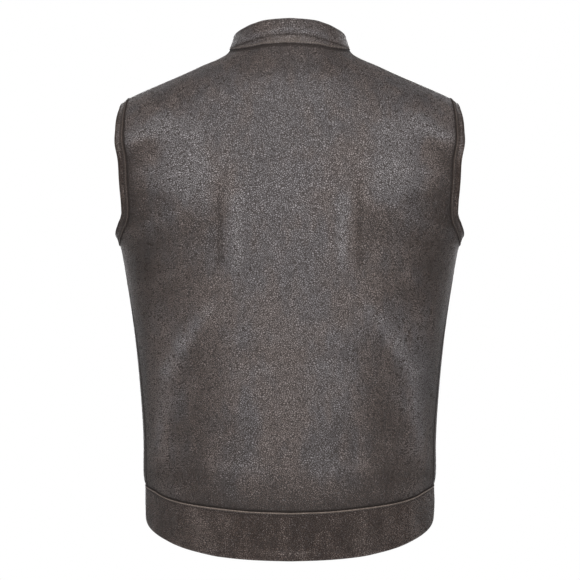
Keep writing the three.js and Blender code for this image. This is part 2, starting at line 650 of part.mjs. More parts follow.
// Pull tab: a flat tag with an eye at its upper end, centred on its pivot.
function pullTab() {
  const bar = TAB_THICKNESS / 2;
  const tag = new THREE.Shape();
  tag.moveTo(-TAB_HALF_WIDTH + 0.8, bar);
  tag.lineTo(TAB_HALF_WIDTH - 0.8, bar);
  tag.quadraticCurveTo(TAB_HALF_WIDTH, bar, TAB_HALF_WIDTH, bar - 0.8);
  tag.lineTo(TAB_HALF_WIDTH - 0.8, -TAB_EYE_LENGTH - 1.5);
  tag.lineTo(TAB_HALF_WIDTH, -TAB_EYE_LENGTH - 4);
  tag.lineTo(TAB_HALF_WIDTH, bar - TAB_LENGTH + TAB_HALF_WIDTH);
  tag.absarc(0, bar - TAB_LENGTH + TAB_HALF_WIDTH, TAB_HALF_WIDTH, 0, -Math.PI, true);
  tag.lineTo(-TAB_HALF_WIDTH, -TAB_EYE_LENGTH - 4);
  tag.lineTo(-TAB_HALF_WIDTH + 0.8, -TAB_EYE_LENGTH - 1.5);
  tag.lineTo(-TAB_HALF_WIDTH, bar - 0.8);
  tag.quadraticCurveTo(-TAB_HALF_WIDTH, bar, -TAB_HALF_WIDTH + 0.8, bar);
  const eye = new THREE.Path();
  eye.moveTo(-TAB_EYE_HALF_WIDTH, -bar);
  eye.lineTo(-TAB_EYE_HALF_WIDTH, -TAB_EYE_LENGTH);
  eye.lineTo(TAB_EYE_HALF_WIDTH, -TAB_EYE_LENGTH);
  eye.lineTo(TAB_EYE_HALF_WIDTH, -bar);
  tag.holes.push(eye);
  return new THREE.ExtrudeGeometry(tag, { depth: TAB_THICKNESS, bevelEnabled: false, curveSegments: 8 })
    .translate(0, 0, -TAB_THICKNESS / 2);
}

// The slider's frame lies along the first straight run of the chain: X across, Y up and Z outwards.
function zipHead() {
  const [top, next] = zipStations;
  const up = top.centre.clone().sub(next.centre).normalize();
  const out = top.across.clone().cross(up).normalize();
  const head = new THREE.Group();
  head.position.copy(top.centre);
  head.quaternion.setFromRotationMatrix(new THREE.Matrix4().makeBasis(top.across, up, out));
  head.add(named("zip_slider", slider(), METAL));
  const tab = named("zip_pull_tab", pullTab(), METAL);
  tab.position.set(0, PIVOT_UP, pivotHeight);
  head.add(tab);
  return head;
}

const vest = new THREE.Group();
vest.add(named("back_panel", backPanel(), HIDE));
vest.add(named("collar", collar(), HIDE_DARK));

const bandEdge = (side) => (z) => sideAngle(z) + side * gapAngle(z);
vest.add(named("hem_band_back", bandPanel((z) => -bandEdge(-1)(z), bandEdge(-1), BACK_COLUMNS), HIDE_DARK));

const leftPieces = {
  front_panel: [frontPanel(), HIDE],
  hem_band_front: [bandPanel(bandEdge(1), frontEdgeAngle, FRONT_COLUMNS), HIDE_DARK],
  armhole_strip: [armholeStrip(), HIDE_DARK],
  zip_tape: [zipSide(), TAPE],
};
for (const [name, [geometry, material]] of Object.entries(leftPieces)) {
  vest.add(named(name + "_left", geometry, material));
  vest.add(named(name + "_right", mirrored(geometry), material));
}
vest.add(zipHead());

export default vest;
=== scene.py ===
"""A men's leather vest, filled out as worn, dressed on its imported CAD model.

The leather pieces are thin shells on the same form as the solids: level oval sections stacked up the
garment, with soft folds laid on them. Lengths inside the classes are millimetres; the meshes are metres.
"""

import logging
import math
from dataclasses import dataclass, field
from enum import Enum
from typing import Optional, Union

import bpy
import numpy as np
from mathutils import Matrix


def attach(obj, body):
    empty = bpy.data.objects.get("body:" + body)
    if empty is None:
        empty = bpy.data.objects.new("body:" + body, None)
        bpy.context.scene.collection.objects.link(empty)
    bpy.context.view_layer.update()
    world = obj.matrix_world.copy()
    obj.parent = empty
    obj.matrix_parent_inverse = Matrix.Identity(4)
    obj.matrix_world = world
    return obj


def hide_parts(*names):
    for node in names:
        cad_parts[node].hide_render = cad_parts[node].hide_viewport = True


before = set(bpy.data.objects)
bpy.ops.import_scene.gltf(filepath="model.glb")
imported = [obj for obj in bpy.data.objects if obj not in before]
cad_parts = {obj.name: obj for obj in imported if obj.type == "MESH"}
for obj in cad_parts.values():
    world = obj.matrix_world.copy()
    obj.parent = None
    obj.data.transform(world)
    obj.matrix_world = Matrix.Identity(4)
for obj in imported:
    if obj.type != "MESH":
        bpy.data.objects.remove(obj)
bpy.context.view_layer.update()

LOG = logging.getLogger("vest")
MM = 0.001
RADIAN = math.pi / 180
Array = np.ndarray
Socket = bpy.types.NodeSocket
Colour = tuple[float, ...]
Value = Union[Socket, float, Colour]


@dataclass(frozen=True)
class SmoothTable:
    """A smooth curve through the rows of a short table: a monotone cubic between them, straight beyond."""

    at: tuple[float, ...]
    value: tuple[float, ...]

    def __call__(self, s: Array) -> Array:
        """Reads the curve: a cubic between two rows, with harmonic means as slopes, so it never overshoots.

        Args:
            s: places to read it at.
        Returns:
            the values there.
        """
        order = np.argsort(self.at)
        at, value = np.array(self.at, float)[order], np.array(self.value, float)[order]
        slope = np.diff(value) / np.diff(at)
        product, total = slope[:-1] * slope[1:], slope[:-1] + slope[1:]
        same = product > 0
        inner = np.where(same, 2 * product / np.where(same, total, 1), 0)
        tangent = np.concatenate([slope[:1], inner, slope[-1:]])
        s = np.asarray(s, float)
        inside = np.clip(s, at[0], at[-1])
        i = np.clip(np.searchsorted(at, inside, side="right") - 1, 0, len(at) - 2)
        span = at[i + 1] - at[i]
        t = (inside - at[i]) / span
        rise = (value[i + 1] - value[i]) * t * t * (3 - 2 * t)
        bend = t * (1 - t) ** 2 * span * tangent[i] + t * t * (t - 1) * span * tangent[i + 1]
        past = s - inside
        return value[i] + rise + bend + np.where(past < 0, tangent[0], tangent[-1]) * past


def table(rows: list[tuple[float, ...]], column: int) -> SmoothTable:
    """One column of a table of rows, as a smooth curve over its first column."""
    return SmoothTable(tuple(r[0] for r in rows), tuple(r[column] for r in rows))


def bell(x: Array, middle: Array, spread: float, power: int = 2) -> Array:
    """A bell curve: 1 at its middle, dying away past its spread; a higher even power flattens its top."""
    return np.exp(-(((x - middle) / spread) ** power))


@dataclass(frozen=True)
class Fold:
    """A soft ridge (height above 0) or trough that runs straight between two places on the panel."""

    from_x: float
    from_z: float
    to_x: float
    to_z: float
    spread: float
    height: float

    def relief(self, x: Array, z: Array) -> Array:
        """Height of the fold: a bell of its spread across the run, fading past both ends.

        Args:
            x: distances from the centre plane.
            z: heights.
        Returns:
            how far the fold lifts the surface there.
        """
        run_x, run_z = self.to_x - self.from_x, self.to_z - self.from_z
        length = math.hypot(run_x, run_z)
        along = ((x - self.from_x) * run_x + (z - self.from_z) * run_z) / length
        across = ((x - self.from_x) * run_z - (z - self.from_z) * run_x) / length
        beyond = np.maximum(0, np.maximum(-along, along - length))
        return self.height * np.exp(-(across**2 + beyond**2) / self.spread**2)


def folds(rows: list[tuple[float, ...]]) -> list[Fold]:
    """One fold for each row of from x, from z, to x, to z, spread and height."""
    return [Fold(*row) for row in rows]


# Level sections: height, half width, depth of the back, depth of the front, squareness of the oval.
SECTIONS = [
    (0, 79.5, 72, 24, 2.0), (-6, 84.5, 75, 28, 2.0), (-13, 96, 79, 33, 2.0), (-22.5, 118.7, 83, 39, 2.0),
    (-34, 144, 88, 47, 2.0), (-50, 181.5, 94, 59, 2.0), (-64, 212.5, 99, 71, 2.05),
    (-78, 237, 103, 82, 2.1), (-110, 278, 112, 102, 2.15), (-135, 285, 119, 115, 2.2),
    (-166, 280, 125, 126, 2.2), (-216, 257, 129, 136, 2.2), (-246, 236, 130, 139, 2.2),
    (-262, 226, 130, 140, 2.2), (-280, 222, 130, 140, 2.2), (-307, 217.5, 128, 140, 2.2),
    (-340, 212.2, 126, 139, 2.2), (-388, 205.7, 124, 137, 2.2), (-441, 200.3, 123, 136, 2.2),
    (-494, 196.3, 124, 134, 2.15), (-548, 193.6, 126, 133, 2.1), (-582, 191.9, 127, 133, 2.1),
    (-620, 191.4, 129, 132, 2.1), (-665, 189, 129, 131, 2.1),
]

# Armhole edge: height, distance from the centre plane behind, and in front.
ARMHOLE = [
    (-64, 212.5, 212.5), (-78, 213.7, 208), (-100, 214.6, 203), (-118, 214.2, 199), (-131, 213.2, 197),
    (-160, 210.1, 194), (-192, 208.2, 195.5), (-206, 207.6, 199), (-223, 208, 204.5), (-234, 211, 209),
    (-243, 216.2, 214), (-254, 221.8, 221), (-262, 226, 226),
]

# Side seam: height, distance behind the middle plane.
SIDE_SEAM = [(-262, 0), (-334, 21), (-414, 31), (-500, 33), (-600, 34)]

# Band: angle from the centre back, height of its seam, height of its lower edge.
HEM = [
    (0, -600.4, -662), (20, -599.3, -661), (38, -596.4, -658.4), (47, -594.6, -655), (55, -592.6, -651.2),
    (60, -590.7, -648), (65, -588.3, -644), (69, -585.5, -640.8), (73, -582.2, -637.4),
    (77, -580.6, -633.8), (81, -579.8, -629.6), (85, -579.2, -624.8), (92, -578.6, -621),
    (130, -577, -617.5), (180, -575, -614),
]

# Collar: turn round the neck from the centre back, height of the neck seam, height along the collar's
# slope, and its lean inwards for each unit up.
COLLAR = [
    (0, -1.2, 34.2, 0.12), (28, -2.6, 34, 0.15), (42, -4.8, 33.2, 0.2), (54, -5.2, 30.6, 0.26),
    (66, -4, 27, 0.31), (78, -1.8, 22.8, 0.34), (90, 0, 19.6, 0.36), (110, -19.4, 19, 0.3),
    (130, -43.9, 20, 0.25), (150, -64.7, 22.5, 0.18), (180, -78, 24, 0.1),
]

# The folds of the back and of the fronts, on both halves.
BACK_FOLDS = folds([
    (216, -128, 164, -106, 13, 2.4), (164, -106, 128, -118, 15, 1.6), (210, -152, 176, -146, 17, -1.6),
    (150, -168, 116, -172, 30, 3.0), (206, -228, 122, -226, 28, -1.2), (90, -190, 91, -290, 10, -0.9),
    (67, -212, 67, -280, 11, 1.8), (192, -290, 166, -330, 24, -1.6), (104, -346, 138, -389, 12, 1.2),
    (138, -389, 160, -424, 12, 1.4), (160, -424, 170, -523, 12, 1.2), (116, -430, 132, -520, 28, -1.6),
])
FRONT_FOLDS = folds([
    (200, -146, 124, -124, 18, 1.8), (198, -178, 132, -160, 18, -1.2), (205, -285, 120, -240, 24, 1.6),
    (190, -340, 112, -306, 26, -1.4), (92, -330, 84, -500, 22, 1.8), (176, -455, 124, -390, 26, -1.2),
])

# Finer creases of the back and of the fronts, only in the leather's outer face.
BACK_CREASES = folds([
    (208, -126, 166, -107, 6, 0.8), (214, -142, 184, -134, 8, -0.8), (210, -168, 176, -170, 6, 0.5),
    (200, -196, 150, -204, 9, -0.7), (208, -244, 150, -226, 8, 0.7), (206, -268, 156, -258, 9, -0.7),
    (196, -318, 150, -300, 8, 0.6), (66, -210, 66, -276, 4, 0.9), (89, -186, 90, -288, 4, -0.5),
    (77, -196, 79, -250, 5, 0.5), (104, -346, 138, -389, 6, 0.5), (138, -389, 160, -424, 6, 0.6),
    (160, -424, 169, -520, 6, 0.5), (60, -372, 10, -380, 11, 0.4), (52, -404, 2, -408, 12, -0.4),
    (76, -430, 22, -418, 10, 0.5), (150, -470, 108, -420, 12, 0.6), (184, -540, 130, -520, 9, 0.6),
    (180, -562, 110, -558, 10, -0.7), (96, -540, 40, -552, 10, 0.6), (48, -58, 14, -50, 10, 0.5),
    (40, -150, 4, -154, 7, -0.5), (44, -188, 4, -192, 7, 0.5), (34, -238, 4, -240, 8, -0.5),
])
FRONT_CREASES = folds([
    (206, -236, 150, -214, 7, 1.1), (202, -262, 140, -236, 8, -1.0), (190, -372, 120, -350, 8, 1.0),
    (150, -420, 70, -440, 9, 1.0), (170, -520, 110, -500, 8, 1.1), (120, -560, 60, -548, 9, -0.9),
    (190, -120, 150, -104, 8, 1.0), (60, -200, 30, -260, 9, 0.8),
])

# Wear of the finish and painted light, in shares, as the same soft bells as the folds: worn pale and painted
# highlight above 0 (shoulder crescents, the middle of the back, fold crests), left dark and painted shade
# below it (the flanks, above the band, under the collar).
BACK_WEAR_AND_PAINTED_LIGHT = folds([
    (0, -110, 0, -420, 74, 0.16), (200, -124, 166, -106, 9, 0.42), (166, -106, 120, -112, 14, 0.42),
    (214, -162, 206, -226, 24, -0.50), (128, -138, 124, -192, 26, 0.44), (67, -206, 67, -290, 7, 0.60),
    (89, -186, 90, -286, 4, -0.14), (186, -230, 110, -240, 34, -0.26), (176, -290, 140, -312, 36, -0.32),
    (104, -346, 138, -389, 9, 0.24), (138, -389, 158, -424, 9, 0.26), (160, -424, 168, -520, 8, 0.16),
    (114, -400, 132, -540, 36, -0.34), (192, -290, 192, -570, 18, -0.30), (110, -588, 0, -592, 34, -0.62),
    (170, -70, 96, -40, 26, -0.16), (52, -26, 0, -26, 26, -0.34), (74, -495, 70, -540, 18, -0.20),
    (40, -490, 0, -510, 40, -0.08),
])
FRONT_WEAR_AND_PAINTED_LIGHT = folds([
    (130, -120, 96, -186, 42, 0.26), (66, -230, 56, -450, 40, 0.18), (180, -400, 124, -350, 26, 0.20),
    (150, -250, 134, -330, 40, -0.10), (150, -480, 120, -560, 40, -0.14),
    (110, -578, 20, -576, 28, -0.30),
])


@dataclass
class VestForm:
    """The filled-out form that every leather piece lies on.

    Angles run from 0 at the centre back to 180 at the centre front, and are positive on the wearer's left.
    """

    tip_z: float = -64.0
    underarm_z: float = -262.0
    front_edge: float = 5.5
    seam_gap: float = 0.01
    fold_fade: float = 30.0
    half_width: SmoothTable = table(SECTIONS, 1)
    back_depth: SmoothTable = table(SECTIONS, 2)
    front_depth: SmoothTable = table(SECTIONS, 3)
    squareness: SmoothTable = table(SECTIONS, 4)
    armhole_back: SmoothTable = table(ARMHOLE, 1)
    armhole_front: SmoothTable = table(ARMHOLE, 2)
    seam_behind: SmoothTable = table(SIDE_SEAM, 1)
    hem_seam: SmoothTable = table(HEM, 1)
    hem_bottom: SmoothTable = table(HEM, 2)
    neck_seam: SmoothTable = table(COLLAR, 1)
    collar_height: SmoothTable = table(COLLAR, 2)
    collar_lean: SmoothTable = table(COLLAR, 3)

    def plain(self, angle: Array, z: Array) -> Array:
        """Points of the form without folds: on the level oval |x/w|^n + |y/d|^n = 1 in the angle's direction.

        Args:
            angle: degrees from the centre back, negative on the wearer's right.
            z: heights.
        Returns:
            points, one row of x, y, z for each place.
        """
        s, c = np.sin(angle * RADIAN), np.cos(angle * RADIAN)
        n = self.squareness(z)
        depth = np.where(c > 0, self.back_depth(z), self.front_depth(z))
        radius = ((np.abs(s) / self.half_width(z)) ** n + (np.abs(c) / depth) ** n) ** (-1 / n)
        return np.stack([radius * s, radius * c, z + 0 * s], -1)

    def normal(self, angle: Array, z: Array, folded: bool) -> Array:
        """Outward unit normals, from the cross product of short steps up and round the surface.

        Args:
            angle: degrees from the centre back.
            z: heights.
            folded: on the face with its folds, or else on the plain form.
        Returns:
            one unit vector for each place.
        """
        surface = self.skin if folded else self.plain
        around = surface(angle + 0.25, z) - surface(angle - 0.25, z)
        up = surface(angle, z + 0.5) - surface(angle, z - 0.5)
        out = np.cross(up, around)
        return out / np.linalg.norm(out, axis=-1, keepdims=True)

    def spread_of(self, behind: list[Fold], before: list[Fold], angle: Array, z: Array) -> Array:
        """Sum of one list of bells on the back and of another on the fronts, faded at the side seams.

        Args:
            behind: bells of the back.
            before: bells of the fronts.
            angle: degrees from the centre back.
            z: heights.
        Returns:
            the sum at each place.
        """
        point = self.plain(angle, z)
        x = np.abs(point[..., 0])
        fade = np.minimum(1, np.abs(point[..., 1]) / self.fold_fade)
        back, front = (sum(fold.relief(x, z) for fold in listed) for listed in (behind, before))
        return np.where(np.abs(angle) < 90, back, front) * fade

    def skin(self, angle: Array, z: Array) -> Array:
        """Points of the outer face: the plain form moved along its normal by the relief of the folds."""
        relief = self.spread_of(BACK_FOLDS, FRONT_FOLDS, angle, z)
        return self.plain(angle, z) + self.normal(angle, z, False) * relief[..., None]

    def lifted(self, angle: Array, z: Array, lift: Array) -> Array:
        """Points off the outer face by lift along its normal; a negative lift lies inside."""
        return self.skin(angle, z) + self.normal(angle, z, True) * np.asarray(lift)[..., None]

    def angle_at(self, x: Array, z: Array, behind: bool) -> Array:
        """The angle at which the form is x from the centre plane: solves the oval's equation for y.

        Args:
            x: distances from the centre plane.
            z: heights.
            behind: on the back, or else on the front.
        Returns:
            degrees from the centre back.
        """
        n = self.squareness(z)
        share = np.maximum(0, 1 - (x / self.half_width(z)) ** n)
        depth = self.back_depth(z) if behind else -self.front_depth(z)
        return np.arctan2(x, depth * share ** (1 / n)) / RADIAN

    def side_angle(self, z: Array) -> Array:
        """The angle of the side seam, from how far behind the middle plane it lies.

        Args:
            z: heights.
        Returns:
            degrees from the centre back.
        """
        n, y = self.squareness(z), self.seam_behind(z)
        x = self.half_width(z) * (1 - (y / self.back_depth(z)) ** n) ** (1 / n)
        return np.arctan2(x, y) / RADIAN

    def gap_angle(self, z: Array) -> Array:
        """Half of the seam's gap, as an angle."""
        return self.seam_gap / 2 / self.half_width(z) / RADIAN

    def neck_place(self, turn: Array) -> tuple[Array, Array]:
        """Angle and height of the neck seam, whose width behind and in front is the sine of its turn.

        Args:
            turn: degrees round the neck from the centre back.
        Returns:
            the angles and the heights.
        """
        z = self.neck_seam(turn)
        x = self.half_width(0) * np.sin(turn * RADIAN)
        return np.where(turn <= 90, turn, self.angle_at(x, z, False)), z

    def neck_front_turn(self) -> float:
        """The turn at which the neck seam reaches the front edge beside the zip."""
        return 180 - math.asin(self.front_edge / float(self.half_width(0))) / RADIAN

    def armhole_heights(self, t: Array) -> Array:
        """Heights down the armhole's edge for t from 0 under the arm to 1 at the shoulder, by a cosine."""
        middle, reach = (self.tip_z + self.underarm_z) / 2, (self.tip_z - self.underarm_z) / 2
        return middle - reach * np.cos(math.pi * t)

    def armhole_angle(self, z: Array, behind: bool) -> Array:
        """The angle of the armhole's edge, kept on its own side of the shoulder and side seams.

        Args:
            z: heights.
            behind: the back's edge, or else the front's.
        Returns:
            degrees from the centre back.
        """
        edge = self.armhole_back(z) if behind else self.armhole_front(z)
        angle = self.angle_at(edge, z, behind)
        if behind:
            return np.minimum(angle, 90 - self.gap_angle(z))
        return np.maximum(angle, 90 + self.gap_angle(z))


FORM = VestForm()


def even_with_close_ends(count: int, length: float, both: bool = True) -> Array:
    """Places from 0 to 1, even in the middle and close together at the ends, where a seam's edge rounds over.

    Args:
        count: number of even steps.
        length: length in mm that 0 to 1 stands for.
        both: close at both ends, or only at 0.
    Returns:
        rising places from 0 to 1.
    """
    near = np.array([0, 0.5, 1.1, 1.9, 3.0, 4.5]) / length
    far = 1 - near[::-1] if both else np.array([1.0])
    middle = np.linspace(near[-1], far[0], count)[1:-1]
    return np.concatenate([near, middle, far])


def mesh_object(name: str, points: Array, quads: Array, scalars: dict[str, Array]) -> bpy.types.Object:
    """Makes a smooth-shaded object at the origin from points in mm and faces of four corners.

    Args:
        name: the piece's name.
        points: one row of x, y, z for each vertex.
        quads: one row of four indices for each face.
        scalars: number attributes on the vertices, by name.
    Returns:
        the new object, linked to the scene.
    """
    mesh = bpy.data.meshes.new(name)
    mesh.vertices.add(len(points))
    mesh.vertices.foreach_set("co", (points * MM).astype(np.float32).ravel())
    mesh.loops.add(quads.size)
    mesh.loops.foreach_set("vertex_index", quads.astype(np.int32).ravel())
    mesh.polygons.add(len(quads))
    mesh.polygons.foreach_set("loop_start", np.arange(0, quads.size, 4, dtype=np.int32))
    mesh.polygons.foreach_set("use_smooth", np.ones(len(quads), bool))
    mesh.update(calc_edges=True)
    mesh.validate()
    for key, values in scalars.items():
        layer = mesh.attributes.new(key, "FLOAT", "POINT")
        layer.data.foreach_set("value", np.asarray(values, np.float32).ravel())
    piece = bpy.data.objects.new(name, mesh)
    bpy.context.scene.collection.objects.link(piece)
    return piece


def grid_faces(rows: int, columns: int, start: int = 0) -> Array:
    """Faces of a grid of points whose rows rise and whose columns run with the angle, facing outwards."""
    corner = start + np.arange((rows - 1) * columns).reshape(rows - 1, columns)[:, :-1].ravel()
    return np.stack([corner, corner + columns, corner + columns + 1, corner + 1], 1)


def wall_object(name: str, outer: Array, inner: Array, scalars: dict[str, Array]) -> bpy.types.Object:
    """Joins two matching grids, an outer and an inner one, into one closed wall.

    Args:
        name: the piece's name.
        outer: grid of points on the outer face.
        inner: grid of points on the inner face.
        scalars: attributes given on the outer grid; the inner face takes the same values.
    Returns:
        the wall as an object.
    """
    rows, columns = outer.shape[:2]
    count = rows * columns
    index = np.arange(count).reshape(rows, columns)
    ring = np.concatenate([index[0, :-1], index[:-1, -1], index[-1, :0:-1], index[:0:-1, 0]])
    after = np.roll(ring, -1)
    rim = np.stack([ring, after, after + count, ring + count], 1)
    front = grid_faces(rows, columns)
    back = grid_faces(rows, columns, count)[:, ::-1]
    points = np.concatenate([outer.reshape(-1, 3), inner.reshape(-1, 3)])
    both = {k: np.concatenate([v.ravel(), v.ravel()]) for k, v in scalars.items()}
    both["flesh"] = np.concatenate([np.zeros(count), np.ones(count)])
    return mesh_object(name, points, np.concatenate([front, back, rim]), both)


def run_lengths(grid: Array, axis: int) -> Array:
    """Distance along each row or column of a grid of points, from its start: the sum of its steps.

    Args:
        grid: the points.
        axis: 1 along the rows, 0 along the columns.
    Returns:
        the distances, as a grid.
    """
    step = np.linalg.norm(np.diff(grid, axis=axis), axis=-1)
    start = np.zeros_like(np.take(step, [0], axis))
    return np.concatenate([start, np.cumsum(step, axis)], axis)


def edge_distance(grid: Array) -> Array:
    """Distance of each point of a grid from the nearest of its four edges, along the surface."""
    across, up = run_lengths(grid, 1), run_lengths(grid, 0)
    return np.minimum.reduce([across, across[:, -1:] - across, up, up[-1:] - up])


def resampled(path: Array, along: Array, at: Array) -> Array:
    """Points of a path at new distances along it, straight between the old ones."""
    return np.stack([np.interp(at, along, path[:, axis]) for axis in range(3)], -1)


def mirrored(points: Array) -> Array:
    """The same grid on the other side of the centre plane, with its columns turned round to face outwards."""
    return (points * np.array([-1, 1, 1]))[:, ::-1]


class Side(Enum):
    """Which half of the garment a piece belongs to."""

    LEFT = "left"
    RIGHT = "right"


class Nodes:
    """Short calls for building one material's node tree."""

    def __init__(self, material: bpy.types.Material) -> None:
        """Clears the material's tree and adds its output and shader.

        Args:
            material: the new material.
        """
        material.use_nodes = True
        self.tree = material.node_tree
        self.tree.nodes.clear()
        self.shader = self.tree.nodes.new("ShaderNodeBsdfPrincipled")
        out = self.tree.nodes.new("ShaderNodeOutputMaterial")
        self.tree.links.new(self.shader.outputs[0], out.inputs["Surface"])
        self.place = self.tree.nodes.new("ShaderNodeTexCoord").outputs["Object"]

    def add(
        self, kind: str, inputs: dict[Union[str, int], Value], **settings: Union[str, bool]
    ) -> bpy.types.Node:
        """Adds a node.

        Args:
            kind: its type, after ShaderNode.
            inputs: values or sockets for its inputs, by name or index.
            settings: its own properties.
        Returns:
            the node.
        """
        node = self.tree.nodes.new("ShaderNode" + kind)
        for key, value in settings.items():
            setattr(node, key, value)
        for key, value in inputs.items():
            if isinstance(value, bpy.types.NodeSocket):
                self.tree.links.new(value, node.inputs[key])
            else:
                node.inputs[key].default_value = value
        return node

    def math(self, operation: str, a: Value, b: Value = 0.0, clamp: bool = False) -> Socket:
        """The result of one sum on two sockets or numbers."""
        return self.add("Math", {0: a, 1: b}, operation=operation, use_clamp=clamp).outputs[0]

    def plus(self, a: Value, b: Value, clamp: bool = False) -> Socket:
        """One value and another, kept from 0 to 1 where clamp says so."""
        return self.math("ADD", a, b, clamp)

    def minus(self, a: Value, b: Value, clamp: bool = False) -> Socket:
        """One value less another, kept from 0 to 1 where clamp says so."""
        return self.math("SUBTRACT", a, b, clamp)

    def times(self, a: Value, b: Value) -> Socket:
        """One value times another."""
        return self.math("MULTIPLY", a, b)

    def vector(self, operation: str, a: Value, b: Value) -> Socket:
        """The result of one sum on two vectors."""
        return self.add("VectorMath", {0: a, 1: b}, operation=operation).outputs[0]

    def remap(self, value: Value, low: float, high: float) -> Socket:
        """A value carried from low..high to 0..1, kept inside it, with a smooth start and end."""
        inputs = {"Value": value, "From Min": low, "From Max": high}
        return self.add("MapRange", inputs, interpolation_type="SMOOTHSTEP").outputs[0]

    def mix(self, share: Value, a: Value, b: Value) -> Socket:
        """Two colours mixed by a share."""
        return self.add("Mix", {0: share, 6: a, 7: b}, data_type="RGBA").outputs[2]

    def noise(self, where: Value, scale: float, detail: float = 2.0, rough: float = 0.5) -> Socket:
        """Smooth noise at a scale in features for each metre."""
        inputs = {"Vector": where, "Scale": scale, "Detail": detail, "Roughness": rough}
        return self.add("TexNoise", inputs).outputs["Fac"]

    def attribute(self, name: str) -> Socket:
        """A number attribute of the piece."""
        return self.add("Attribute", {}, attribute_name=name).outputs["Fac"]

    def bump(
        self, height: Value, distance: float, strength: float, normal: Optional[Socket] = None
    ) -> Socket:
        """A normal from a height.

        Args:
            height: the height, 0 to 1.
            distance: metres that height 1 stands for.
            strength: share of the effect.
            normal: a coarser bump below this one.
        Returns:
            the normal.
        """
        inputs = {"Height": height, "Distance": distance, "Strength": strength}
        if normal is not None:
            inputs["Normal"] = normal
        return self.add("Bump", inputs).outputs[0]

    def finish(self, colour: Value, roughness: Value, normal: Optional[Socket] = None) -> None:
        """Connects the shader.

        Args:
            colour: base colour.
            roughness: 0 polished, 1 matt.
            normal: the bumped normal, or none.
        """
        for key, value in {"Base Color": colour, "Roughness": roughness, "Normal": normal}.items():
            if isinstance(value, bpy.types.NodeSocket):
                self.tree.links.new(value, self.shader.inputs[key])
            elif value is not None:
                self.shader.inputs[key].default_value = value


